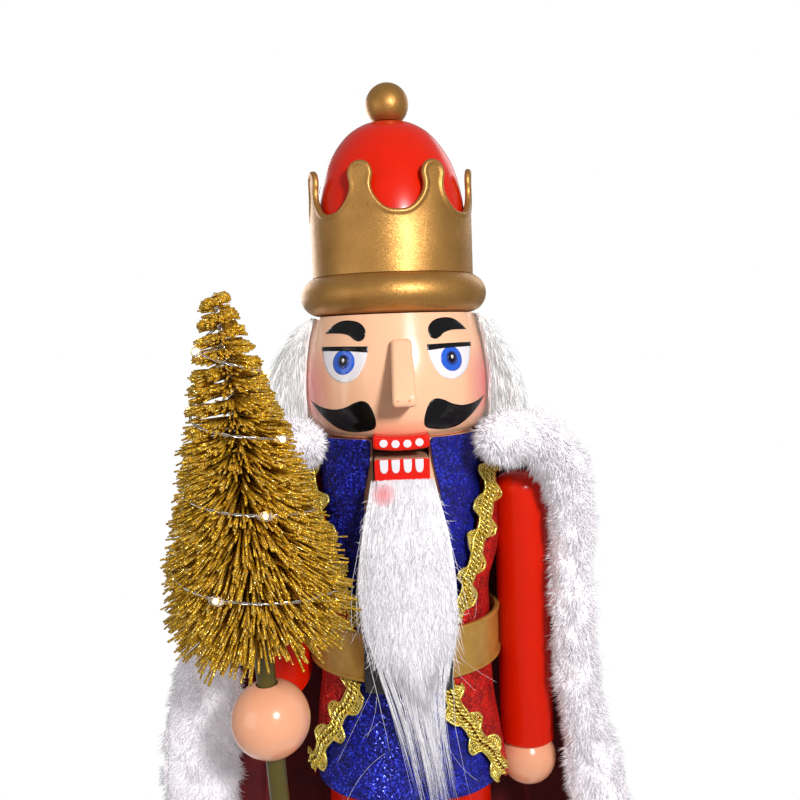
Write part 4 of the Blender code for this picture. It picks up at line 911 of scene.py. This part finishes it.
def mitre_block(elbow, side):
    """A block on one side of the elbow's mitre plane, 0.15 mm off it."""
    size = 60
    shift = Matrix.Translation((0, 0, -side * (size / 2 + 0.15) * MM))
    return cube_mesh(Matrix.Translation(elbow * MM) @ Matrix.Rotation(radians(45), 4, "X") @ shift, (size,) * 3)


def tree_axes():
    right = (Vector((1, 0, 0)) - STAFF_AXIS * STAFF_AXIS.x).normalized()
    return np.array(right), np.array(STAFF_AXIS.cross(right)), np.array(STAFF_AXIS)


def round_staff(z, angle, radius):
    """Points round the staff's axis at heights in mm, angles and radii."""
    right, back, _ = tree_axes()
    middle = np.array([staff_at(h) for h in np.ravel(z)]).reshape(*np.shape(z), 3)
    out = np.cos(angle)[..., None] * right + np.sin(angle)[..., None] * back
    return middle + out * np.asarray(radius)[..., None]


def make_tree():
    made = piece("olive_staff", rod_mesh(staff_at(22.4), staff_at(213), 2.8, 40), "staff", stands_for="staff")
    right, back, up = tree_axes()
    count = 5000
    foot, top = 224.5, 311.0
    z = foot + (top - foot) * np.sort(rng.random(count) ** 1.12)
    high = np.clip((z - 252) / 26, 0, 1)
    pitch = np.interp(z, [foot, 262, 275, top], [3.4, 4.1, 4.4, 4.6])
    angle = TURN * np.cumsum(np.diff(z, prepend=z[0]) / pitch) + rng.normal(0, 0.55, count)
    angle = np.where(rng.random(count) < 0.35 + 0.62 * high, angle, rng.random(count) * TURN)
    base = z + rng.normal(0, 0.5, count) * (1 - 0.35 * high)
    droop = np.interp(z, [foot, 226, 238, 252, 270, top], [0.44, 0.40, 0.33, 0.22, 0.08, 0.03])
    droop = np.clip(droop + rng.normal(0, 0.17, count) * (1 - 0.75 * high), -0.3, 0.85)
    radius = blend(TREE_SHAPE, base - droop * 22) * (1 + rng.normal(0, 0.045, count))
    low = np.clip((247 - base) / 16, 0, 1)
    radius = radius * (1 - 0.03 * low + 0.06 * low * np.clip(np.cos(angle), 0, 1))
    radius = radius + np.where(rng.random(count) < 0.03, rng.random(count) * 1.8, 0) * (1 - high)
    lock = (np.round(angle * 3.2) * 40 + np.round(base / 2.6)).astype(int)
    dice = np.random.default_rng(33).normal(size=(9973, 2))[lock % 9973]
    t = np.array([0.04, 0.35, 0.7, 1.0])
    reach = radius[:, None] * t
    fall = -(droop + 0.07 * dice[:, 0])[:, None] * reach * (0.75 + 0.25 * t)
    turn = angle[:, None] + (rng.normal(0, 0.05, count) + 0.07 * dice[:, 1])[:, None] * t
    out = np.cos(turn)[..., None] * right + np.sin(turn)[..., None] * back
    stem = np.array([staff_at(h) for h in base])
    paths = stem[:, None] + out * reach[..., None] + up * fall[..., None]
    thick = np.array([0.24, 0.38, 0.42, 0.30]) * (1 + rng.normal(0, 0.16, (count, 1)))
    strands("tree_needles", paths, thick, "tinsel", 2, stands_for="tree_bristles", sides=4, pointed=False)
    h = np.linspace(204, 311.6, 220)
    stem = [round_staff(h, TURN * h / 3.2 + pi * k, 0.55 + 0 * h) for k in range(2)]
    strands("tree_twist", np.array(stem), 0.5, "wire", stands_for="tree_stem", sides=6, pointed=False)


def strands(name, paths, radii, look, parts=1, stands_for=(), sides=3, pointed=True):
    """Fine solids in mm, as one piece or as several that take every nth one. The first stands for
    the node."""
    radii = np.broadcast_to(radii, paths.shape[:2])
    for i in range(parts):
        label = f"{name}_{i + 1}" if parts > 1 else name
        mesh = tubes(label, paths[i::parts], radii[i::parts], sides, pointed)
        piece(label, mesh, look, stands_for=() if i else stands_for, angle=0)


LEAD_SIDE = Vector((-0.35, 1.0, 0.0)).normalized() * 4.0
LEAD_END = Vector((-10.5, 14.0, 10.6))
LEAD_ANGLE = atan2(LEAD_SIDE.y, LEAD_SIDE.x)
WINDINGS, LAMPS = 4, 9


def wound(share, clear=0.0):
    """A point of the wire on the tree: it winds down to the right across the front."""
    z = 218 + (302 - 218) * share**0.85
    return round_staff(z, LEAD_ANGLE - TURN * WINDINGS * share, blend(TREE_SHAPE, z) * 0.93 + clear)


def make_lights():
    inwards = (LEAD_END - (staff_at(30) + LEAD_SIDE)).normalized()
    route = [LEAD_END + inwards * 1.5, LEAD_END, staff_at(31) + LEAD_SIDE * 1.25]
    route += [staff_at(z) + LEAD_SIDE for z in (36, 80, 130, 176, 190, 202.5)]
    route += [round_staff(z, LEAD_ANGLE + turn, r) for z, turn, r in ((206, 0.7, 12), (211, 0.45, 22))]
    route += [wound(s) for s in np.linspace(0, 1, WINDINGS * 16)]
    line = smooth(np.array([np.array(p) for p in route]), 1500)
    tangent = unit(np.gradient(line, axis=0))
    side = unit(np.cross(tangent, [0.1, 0.2, 1.0]))
    other = np.cross(tangent, side)
    wires = []
    for k in range(2):
        twist = (TURN * along_path(line) / 7.0 + pi * k)[:, None]
        wires.append(line + (side * np.cos(twist) + other * np.sin(twist)) * 0.24)
    strands("twin_wire", np.array(wires), 0.2, "wire", stands_for="fairy_lights", sides=6, pointed=False)
    shape = smooth([(0.3, -2.3), (1.0, -1.5), (1.35, 0), (1.0, 1.5), (0.3, 2.3)], 18)
    drop = [(0, -2.35), *shape, (0, 2.35)]
    chip = [(0, -0.55), (0.4, -0.5), (0.5, 0), (0.4, 0.5), (0, 0.55)]
    for i in range(LAMPS):
        share = (i + 0.35) / LAMPS
        centre = Vector(wound(share, 1.0))
        ahead = (Vector(wound(share + 0.005, 1.0)) - centre).normalized()
        turn = Vector((0, 0, 1)).rotation_difference(ahead).to_matrix().to_4x4()
        for word, profile, steps, look in (("drop", drop, 24, "drop"), ("chip", chip, 16, "lamp")):
            mesh = turned_mesh(word, profile, steps)
            mesh.transform(Matrix.Translation(centre * MM) @ turn)
            piece(f"lamp_{word}_{i + 1}", mesh, look)


# ---------------------------------------------------------------- hair and fur

UP, DOWN, FORWARD = np.array([0.0, 0.0, 1.0]), np.array([0.0, 0.0, -1.0]), np.array([0.0, -1.0, 0.0])
FLOOR_FUR = 42.5


def fur_roll(name, points, widths, stands_for, facing, count, seed, length=4.1, bare=2.6):
    """A roll of plush: a lumpy core and short clumped fibres all over it. facing is the direction
    that the section's depth lies along. bare is how far the core lies under the pile."""
    random = np.random.default_rng(seed)
    path = smooth(points, 140)
    rows, steps = len(path), 40
    wide = blend(widths, path[:, 2]) if not np.isscalar(widths) else np.full(rows, float(widths))
    deep = np.minimum(wide, 8.6)
    tangent = unit(np.gradient(path, axis=0))
    across = unit(np.cross(facing, tangent))
    normal = np.cross(tangent, across)
    index = np.arange(rows)
    blunt = np.sqrt(np.clip((np.minimum(index, index[::-1]) + 0.3) / 5, 0, 1))

    def surface(i, a):
        flat = across[i] * ((wide[i] - bare) * blunt[i] * np.cos(a))[..., None]
        return path[i] + flat + normal[i] * ((deep[i] - bare) * blunt[i] * np.sin(a))[..., None]

    angle = np.arange(steps) * TURN / steps + np.zeros((rows, 1))
    core = surface(np.repeat(index, steps).reshape(rows, steps), angle)
    x, y, z = np.moveaxis(core, -1, 0)
    lump = np.sin(x * 0.7 + 1.3 * seed) * np.sin(z * 0.62 + seed) * np.sin(y * 0.66)
    core = path[:, None] + (core - path[:, None]) * (1 + 0.10 * lump)[..., None]
    core = np.vstack([core.reshape(-1, 3), path[0] - tangent[0] * 0.4, path[-1] + tangent[-1] * 0.4])
    ring = np.stack([np.arange(steps), (np.arange(steps) + 1) % steps, np.full(steps, rows * steps)], -1)
    ends = ring, ring + [(rows - 1) * steps, (rows - 1) * steps, 1]
    core = outwards(mesh_of(f"{name}_core", core * MM, grid_faces(rows, steps, True), *ends))
    u = random.random(count) * (rows - 1.001)
    crowded = np.where(u < rows / 2, u * 0.05, rows - 1.001 - (rows - 1.001 - u) * 0.05)
    u = np.where(random.random(count) < 0.05, crowded, u)
    k = u.astype(int)
    v = random.random(count) * TURN
    root = surface(k, v) + (path[k + 1] - path[k]) * (u - k)[:, None]
    out = across[k] * (np.cos(v) / np.maximum(wide[k], 1))[:, None]
    out = unit(out + normal[k] * (np.sin(v) / np.maximum(deep[k], 1))[:, None])
    near_end = (np.clip(u - rows + 5, 0, 4) - np.clip(4 - u, 0, 4))[:, None] * tangent[k] * 0.3
    clump_u = np.round(u / 3.2 + np.sin(v * 3) * 0.3)
    clump_v = np.round(v / TURN * 14 + clump_u * 0.5)
    key = (clump_u * 131 + clump_v * 17 + seed * 7).astype(int)
    dice = np.random.default_rng(seed + 50).normal(size=(4096, 3))
    drift = out + DOWN * 0.5 + dice[key % 4096] * 0.36 + near_end + random.normal(0, 0.30, (count, 3))
    size = length * (0.62 + 0.45 * random.random(count)) * (0.85 + 0.3 * dice[(key + 11) % 4096, 0].clip(-1, 1))
    size = size[:, None, None]
    bend = DOWN * 0.35 + random.normal(0, 0.15, (count, 3))
    t = np.array([0.0, 0.55, 1.0])[:, None]
    paths = (root - out * 0.8)[:, None] + unit(drift)[:, None] * (size * t)
    paths = paths + bend[:, None] * (size * t**2 * 0.5)
    paths = paths[np.all(paths[:, :, 2] > FLOOR_FUR, axis=1)]
    radii = np.array([0.20, 0.15, 0.04]) * (0.8 + 0.4 * random.random((len(paths), 1)))
    piece(f"{name}_core", core, "fur", stands_for=stands_for, angle=0)
    strands(f"{name}_fibres", paths, radii, "fur", 2)


def make_fur():
    fur_roll("left_front_fur", FRONT_LEFT, WIDTH_LEFT, "fur_front_left", FORWARD, 38000, 2)
    fur_roll("right_front_fur", FRONT_RIGHT, WIDTH_RIGHT, "fur_front_right", FORWARD, 38000, 3)
    half = [(41.5, 4, 265), (37, 19, 265.6), (22, 35, 266)]
    collar = [*half, (0, 40.5, 266), *[(-x, y, z) for x, y, z in half[::-1]]]
    fur_roll("collar_fur", collar, 8.6, "fur_collar", UP, 26000, 4)
    angles = np.radians(np.linspace(4, 176, 15))
    hem = [((76 if cos(a) > 0 else 78) * cos(a), 64 * sin(a), 52.6) for a in angles]
    fur_roll("hem_fur", hem, 8.6, "fur_hem", UP, 32000, 5)


def make_cape():
    """Velvet gathered at the collar, in folds that deepen towards the hem."""
    shape = np.array(CAPE_SHAPE)
    angles = np.linspace(pi + radians(1.5), -radians(1.5), 120)
    rows = []
    for z in np.linspace(255.5, 60, 60):
        left, right, back = [np.interp(z, shape[:, 0], shape[:, k]) for k in (1, 2, 3)]
        wide = np.where(np.cos(angles) > 0, left, right)
        depth = np.clip((252 - z) / 160, 0, 1) ** 0.85
        fold = 2.6 * np.sin(angles * 17 + 0.6 * np.sin(z * 0.03)) + 1.2 * np.sin(angles * 29 + 1.3) - 1.2
        fold = depth * fold * np.clip(np.sin(angles) * 4, 0, 1)
        rows.append(xyz((wide + fold) * np.cos(angles), (back + fold) * np.sin(angles), z))
    points = np.stack(rows)
    made = cloth("velvet_cape", points, "velvet", "cape", 1.2)


EAR = radians(76)
WIG_OUTER = smooth([(28.4, 305.4), (31.4, 302.8), (34.4, 298), (37.8, 290.5), (40.6, 282), (42, 272.4)], 40)
WIG_INNER = smooth([(30.4, 270.4), (30.4, 284), (29.2, 296), (27.1, 305.2)], 20)


def make_wig():
    """White hair combed down from under the crown, flaring out over the collar."""
    columns, rows = len(WIG_OUTER) + len(WIG_INNER), 90
    section = np.vstack([WIG_OUTER - [2.0, 0], WIG_INNER])
    angles = np.linspace(EAR, TURN - EAR, rows)[:, None]
    spread = wig_spread(angles, section[:, 1]) * (np.arange(columns) < len(WIG_OUTER))
    ends = [[np.arange(columns)], [np.arange(columns) + (rows - 1) * columns]]
    core = polar(section[:, 0] + spread, angles, section[:, 1]) * MM
    core = outwards(mesh_of("wig_core", core, grid_faces(rows, columns, True), *ends))
    piece("wig_core", core, "wig", stands_for="wig", angle=0)
    number = 19000
    random = np.random.default_rng(9)
    turn = EAR - 0.05 + random.random(number) * (TURN - 2 * EAR + 0.10)
    place = random.random(number) ** 0.85 * 0.98
    size = 0.16 + 0.20 * random.random(number)
    t = np.linspace(0, 1, 4)
    end = len(WIG_OUTER) - 1
    index = (place[:, None] + size[:, None] * t) * end
    past = np.maximum(index - end, 0)
    dice = np.random.default_rng(19).normal(size=(2048, 3))
    clump = dice[(np.round(turn * 24) * 31 + np.round(place * 9)).astype(int) % 2048]
    r, z = [np.interp(index, np.arange(end + 1), column) for column in WIG_OUTER.T]
    z = z - 0.75 * past
    r = r - 1.9 - 0.15 * past + 0.5 + 1.5 * t * random.random((number, 1)) + 0.7 * clump[:, :1] * t
    sway = turn[:, None] + (random.normal(0, 0.035, (number, 1)) + 0.035 * clump[:, 1:2]) * t
    paths = polar(r + wig_spread(sway, z), sway, z + 0.5 * clump[:, 2:] * t)
    loose = (random.random((number, 1)) < 0.25) * t**1.5
    paths = paths + random.normal(0, 1.0, (number, 1, 3)) * [1, 1, 0.5] * loose[..., None]
    strands("wig_locks", paths, np.array([0.15, 0.16, 0.12, 0.02]), "wig", 2)
    for side, word in SIDES:
        sideburn(side, word)


def wig_spread(turn, z):
    """How much fuller the wig is on the right side of the figure, low down."""
    return 3.4 * np.clip(-np.sin(turn), 0, 1) ** 2 * np.clip((301 - z) / 20, 0, 1)


def sideburn(side, word):
    """The loose hair at the wig's front edge, which hangs to the collar."""
    number = 7000
    random = np.random.default_rng(23 + side)
    place = random.random(number)
    depth = random.random(number)[:, None] ** 0.8
    size = 0.20 + 0.22 * random.random(number)
    t = np.linspace(0, 1, 5)
    along = place[:, None] + size[:, None] * t
    inside = np.minimum(along, 1)
    r_out, z = [np.interp(inside, np.linspace(0, 1, len(WIG_OUTER)), column) for column in WIG_OUTER.T]
    r_in = np.interp(inside, np.linspace(0, 1, len(WIG_INNER)), WIG_INNER[::-1, 0]) + 0.6
    dice = np.random.default_rng(29).normal(size=(997, 3))
    clump = dice[(np.round(place * 11) * 13 + np.round(depth[:, 0] * 7) * 5).astype(int) % 997]
    r = r_in + (r_out - 1.0 - r_in) * depth + 0.5 * clump[:, :1] * t + random.normal(0, 0.4, (number, 1)) * t
    z = z - np.minimum(np.maximum(along - 1, 0) * 30, 8) + 0.4 * clump[:, 1:2] * t
    r = r + wig_spread(side * EAR, z) * depth
    turn = EAR + 0.05 * random.random((number, 1))
    turn = turn - (0.05 + 0.05 * random.random((number, 1)) + 0.02 * clump[:, 2:]) * t
    strands(f"{word}_sideburn", polar(r, side * turn, z), np.array([0.14, 0.16, 0.15, 0.11, 0.03]), "wig")


def make_beard():
    """Long hair from under the jaw to the hem: thick at the top, in thin wisps below the belt."""
    number = 13500
    random = np.random.default_rng(12)
    share = np.clip(random.normal(0, 0.55, number), -1.1, 1.1)
    layer = random.random(number) ** 0.7
    high = random.random(number) < 0.42
    start = np.where(high, 256.0 - 3 * random.random(number), 252 - 38 * random.random(number))
    long = random.random(number) < 0.026
    short = np.clip(1 - np.abs(share - 0.05), 0, 1) ** 0.8
    end = np.where(long, 150 + 30 * random.random(number), 214 - 19 * short - 10 * random.random(number))
    end = np.minimum(end, start - 12 - 12 * random.random(number))
    share = share[:, None]
    t = np.linspace(0, 1, 8)
    z = start[:, None] + (end - start)[:, None] * t
    tall = [150, 165, 180, 190, 200, 210, 225, 240, 250, 256]
    half = np.interp(z, tall, [4.2, 5.0, 6.0, 7.6, 9.8, 11.9, 12.5, 11.2, 9.5, 8.5])
    dice = np.random.default_rng(13).normal(size=(97, 2))
    pull = dice[np.round(share[:, 0] * 12 + random.normal(0, 0.3, number)).astype(int) % 97]
    drift = np.interp(z, [150, 165, 180, 195, 225, 256], [8.0, 6.2, 3.8, 1.6, 0.2, 0.0])
    gather = np.clip((208 - z) / 50, 0, 1)
    x = share * half * (1 - 0.3 * gather) + drift + gather * pull[:, :1] * 1.6
    x = x + np.sin(z * 0.13 + share * 6 + pull[:, 1:]) * 0.45 * t + random.normal(0, 0.55, (number, 1)) * t
    x = x + np.where(random.random((number, 1)) < 0.05, random.normal(0, 3.0, (number, 1)) * t**1.5, 0)
    tall = [150, 175, 205, 235, 250, 256]
    front = np.interp(z, tall, [-42.4, -41.2, -40.8, -40.4, -37.6, -34.6])
    rear = np.interp(z, tall, [-39.2, -37.2, -35.2, -34.6, -33.6, -32.6])
    y = rear + (front - rear) * layer[:, None] * (1 - 0.45 * share**2)
    y = y + gather * pull[:, 1:] * 0.5 + random.normal(0, 0.25, (number, 1)) * t
    thick = np.interp(t, [0, 0.2, 0.75, 1.0], [0.07, 0.10, 0.085, 0.02])
    radii = thick * (0.75 + 0.5 * random.random((number, 1))) * np.interp(z, [160, 205], [0.5, 1.0])
    paths = xyz(x, y, z)
    locks = [tubes("beard_locks", paths[i::3], radii[i::3]) for i in range(3)]
    locks.append(beard_wool(random))
    rows, steps = 50, 36
    h = np.linspace(255.6, 204, rows)[:, None]
    a = np.arange(steps) * TURN / steps
    half = np.interp(h, [204, 211, 225, 240, 256], [4.0, 8.0, 10.8, 9.6, 7.8])
    depth = np.interp(h, [204, 214, 240, 256], [0.6, 1.8, 2.3, 1.0])
    middle = np.interp(h, [196, 205, 235, 250, 256], [-37.4, -37.4, -37.0, -35.2, -33.4])
    ridge = 1 + 0.06 * np.sin(a * 11 + h * 0.05) + 0.04 * np.sin(a * 17 - h * 0.08)
    aside = np.interp(h, [196, 256], [1.6, 0])
    points = xyz(half * np.cos(a) * ridge + aside, middle + depth * np.sin(a) * ridge, h)
    ends = [[np.arange(steps)], [np.arange(steps) + (rows - 1) * steps]]
    core = outwards(mesh_of("beard_core", points * MM, grid_faces(rows, steps, True), *ends))
    for name, mesh in [("beard_core", core)] + [(f"beard_locks_{i + 1}", mesh) for i, mesh in enumerate(locks)]:
        made = piece(name, mesh, "beard", body=None, stands_for="beard" if mesh is core else (), angle=0)
        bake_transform(made)


def curled(start, way, curl, size, steps, sag):
    """Paths that leave their starts along way, and curl aside by up to sag quarters of their size."""
    t = np.linspace(0, 1, steps)[:, None]
    size = size[:, None, None]
    return start[:, None] + way[:, None] * size * t + curl[:, None] * size * (t - t**2) * sag


def beard_wool(random):
    """Short tangled fibres over the beard's upper half, and a few stray hairs."""
    number = 7500
    z = 202 + 50 * random.random(number) ** 0.8
    half = np.interp(z, [195, 210, 225, 240, 250, 256], [8.0, 11.3, 12.2, 10.8, 9.0, 8.2])
    share = np.clip(random.normal(0, 0.6, number), -1.05, 1.05)
    front = np.interp(z, [195, 205, 235, 250, 256], [-39.6, -40.2, -39.8, -37.2, -34.4])
    round_off = 2.4 * (1 - np.sqrt(1 - np.minimum(share**2, 1)))
    aside = np.interp(z, [195, 225], [1.4, 0])
    start = xyz(share * half + aside, front + round_off + 0.4 * random.random(number), z)
    way = random.normal(0, 0.36, (number, 3)) + [0, -0.08, -0.95]
    way[:, 0] += 0.14 * share
    curl = random.normal(0, 0.6, (number, 3))
    paths = curled(start, unit(way), curl, 2.6 + 3.4 * random.random(number), 4, 0.8)
    wool = tubes("beard_wool", paths, np.array([0.05, 0.08, 0.07, 0.02]))
    number = 14
    z = 168 + 78 * random.random(number)
    side = np.where(random.random(number) < 0.5, -1, 1)
    half = np.interp(z, [150, 195, 210, 240, 256], [5.5, 10.5, 12.4, 10.8, 8.2])
    aside = side * (0.25 + 0.5 * random.random(number))
    way = xyz(aside, random.normal(-0.1, 0.15, number), -0.9 + random.normal(0, 0.4, number))
    size = 9 + 15 * random.random(number)
    curl = random.normal(0, 0.3, (number, 3))
    stray = tubes("beard_stray", curled(xyz(side * half, -38.0, z), way, curl, size, 12, 1.4), 0.035)
    return merged("beard_wool", wool, stray)


# ---------------------------------------------------------------- legs and base


def make_legs():
    boot = [(12.4, 30.4), (12.9, 31.4), (12.9, 34.5), (11.7, 41), (11.0, 56), (12.2, 76), (13.4, 89)]
    leg = smooth([(12.0, 100.3), (12.7, 102.5), (13.2, 128), (12.7, 156.7)], 20)
    cuff = [(13.0, 94.3), *arc(11.2, 97.15, 2.9, -80, 80, 12), (13.0, 100)]
    turnings = (
        ("boot_turned", [(0, 30.3), *smooth([*boot, (12.9, 93.8)], 40), (0, 94)], "black", "boot"),
        ("boot_band", [(0, 94.3), *cuff, (0, 100)], "gold", "boot_cuff"),
        ("trousers", [(0, 100.3), *leg, (0, 156.7)], "red", "trouser_leg"),
    )
    for side, word in SIDES:
        x = side * 14.5
        for name, profile, look, node in turnings:
            turned(f"{word}_{name}", profile, look, f"{word}_{node}", at=(x, 0, 0), steps=64)
        dome = [(1000 * sin(a), 1000 * cos(a)) for a in np.linspace(0.02, pi / 2, 20)]
        mesh = turned_mesh("toe", [(0, 1000), *dome, (0, 0)], 64)
        size = Matrix.Diagonal((11.4 * MM, 21 * MM, 13.5 * MM, 1))
        mesh.transform(Matrix.Translation((x * MM, -12 * MM, 30.3 * MM)) @ size)
        toe = piece(f"{word}_toe_block", mesh, "black", stands_for=f"{word}_boot_toe")
        cut(toe, rod_mesh((x, 0, 20), (x, 0, 60), 13.1, 64), box_mesh((x - 20, -4, 20), (x + 20, 30, 60)))


def battery_space():
    return box_mesh((-17, 8, -5), (23, 35, 15)), box_mesh((-16.7, 30, -5), (12.7, 60, 5.9))


def make_base():
    lower = [(50, 1.5), *arc(51.0, 6.8, 1.5, -60, 60, 8, 3.0), (50.6, 11.8), (49.2, 12.8)]
    waist = smooth([(48.6, 13.2), (47.6, 17), (47.8, 21), (49.2, 23.6)], 12)
    rim = [(50.3, 24.2), *arc(49.4, 26.6, 1.5, -50, 50, 8, 1.3), (50.0, 29.2), (49.2, 30)]
    plinth = turned("round_plinth", [(0, 1.5), *lower, *waist, *rim, (0, 30)], "red", "base_plinth")
    cut(plinth, *battery_space(), rod_mesh(staff_at(18), staff_at(40), 3.25, 32))
    pad = turned("green_felt_pad", [(0, 0), (49, 0), (49, 1.2), (0, 1.2)], "felt", "base_felt_pad")
    cut(pad, *battery_space())
    turned("plinth_gold_line", oval(48.6, 13.4, 1.1, 1.1, 16), "gold")


def paint_nodes():
    """The CAD nodes that stay as they are get their own finishes."""
    finish = {name: "wood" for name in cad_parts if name.endswith("dowel")}
    finish |= dict.fromkeys(("battery_housing", "battery_cover", "switch_body"), "plastic")
    finish |= dict.fromkeys(("switch_knob", "coin_cell", "cell_spring_contact", "cell_rim_contact"), "steel")
    finish |= {"jaw_pin": "steel", "jaw_lever": "flesh"}
    for name, look in finish.items():
        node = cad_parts[name]
        for slot in node.material_slots:
            slot.material = LOOKS[look].mat
        if not node.material_slots:
            node.data.materials.append(LOOKS[look].mat)


# ---------------------------------------------------------------- stage

CAMERA_SIDE, CAMERA_BACK, CAMERA_Z = -7.0, 293.0, 297.4
CAMERA_AIM = 258
FOCAL, FRAME, SENSOR = 880.0, 800.0, 36.0
AMBIENT = 0.34
FLOOR_HALF = 4.0
# Area lamps: name, place and target in mm, size in mm, watts.
LAMP_ROWS = [
    ("key", (150, -430, 430), (0, 0, 270), 60, 2.2),
    ("fill", (-420, -300, 300), (0, 0, 250), 320, 0.45),
    ("rim", (320, 420, 520), (0, 0, 260), 260, 0.35),
    ("back", (-250, 450, 400), (0, 0, 230), 260, 0.8),
]


def make_floor():
    """A pale floor round the figure, which fades into the backdrop."""
    s = FLOOR_HALF
    floor = bpy.data.meshes.new("floor")
    floor.from_pydata([(-s, -s, 0), (s, -s, 0), (s, s, 0), (-s, s, 0)], [], [(0, 1, 2, 3)])
    look = Look("pale_floor", (0.9, 0.9, 0.9), 0.9)
    fade = look.ramp(look.maths("DIVIDE", look.vector("LENGTH", look.coords), 0.45), (0.35, 0.0), (0.56, 1.0))
    glow = look.node("Emission", {"Color": (1, 1, 1), "Strength": backdrop_light(look.tree)})
    both = look.node("MixShader", {0: fade, 1: look.shader.outputs[0], 2: glow.outputs[0]})
    look.feed(look.tree.nodes["Material Output"].inputs["Surface"], both.outputs[0])
    floor.materials.append(look.mat)
    shown("floor", floor)


def backdrop_light(tree):
    """The white backdrop looks white, but it lights the object only softly."""
    seen = tree.nodes.new("ShaderNodeMapRange")
    seen.inputs["To Min"].default_value = AMBIENT
    seen.inputs["To Max"].default_value = 1.0
    tree.links.new(tree.nodes.new("ShaderNodeLightPath").outputs["Is Camera Ray"], seen.inputs["Value"])
    return seen.outputs["Result"]


def make_stage():
    scene = bpy.context.scene
    make_floor()
    world = scene.world = bpy.data.worlds.new("studio")
    world.use_nodes = True
    background = world.node_tree.nodes["Background"]
    background.inputs["Color"].default_value = (1, 1, 1, 1)
    world.node_tree.links.new(backdrop_light(world.node_tree), background.inputs["Strength"])
    for name, at, target, size, watts in LAMP_ROWS:
        light = bpy.data.lights.new(name, "AREA")
        light.size = size * MM
        light.energy = watts
        made = shown(name, light)
        made.location = Vector(at) * MM
        made.rotation_euler = (Vector(target) * MM - made.location).to_track_quat("-Z", "Y").to_euler()
    camera = bpy.data.cameras.new("camera")
    camera.sensor_width = SENSOR
    camera.lens = SENSOR * FOCAL / FRAME
    camera.clip_start = 0.01
    made = scene.camera = shown("camera", camera)
    pitch, roll = atan(60 / FOCAL), radians(2.0)
    yaw = Matrix.Rotation(atan(CAMERA_SIDE / CAMERA_AIM), 4, "Z")
    turn = Matrix.Rotation(pi / 2 - pitch, 4, "X") @ Matrix.Rotation(-roll, 4, "Z")
    place = Vector((CAMERA_SIDE, -CAMERA_BACK, CAMERA_Z)) * MM
    made.matrix_world = Matrix.Translation(place) @ yaw @ turn
    scene.view_settings.view_transform = "Standard"


make_stage()
make_looks()
make_crown()
make_face()
make_torso()
make_clothes()
make_belt()
make_braids()
make_arms()
make_tree()
make_lights()
make_fur()
make_cape()
make_wig()
make_beard()
make_legs()
make_base()
paint_nodes()
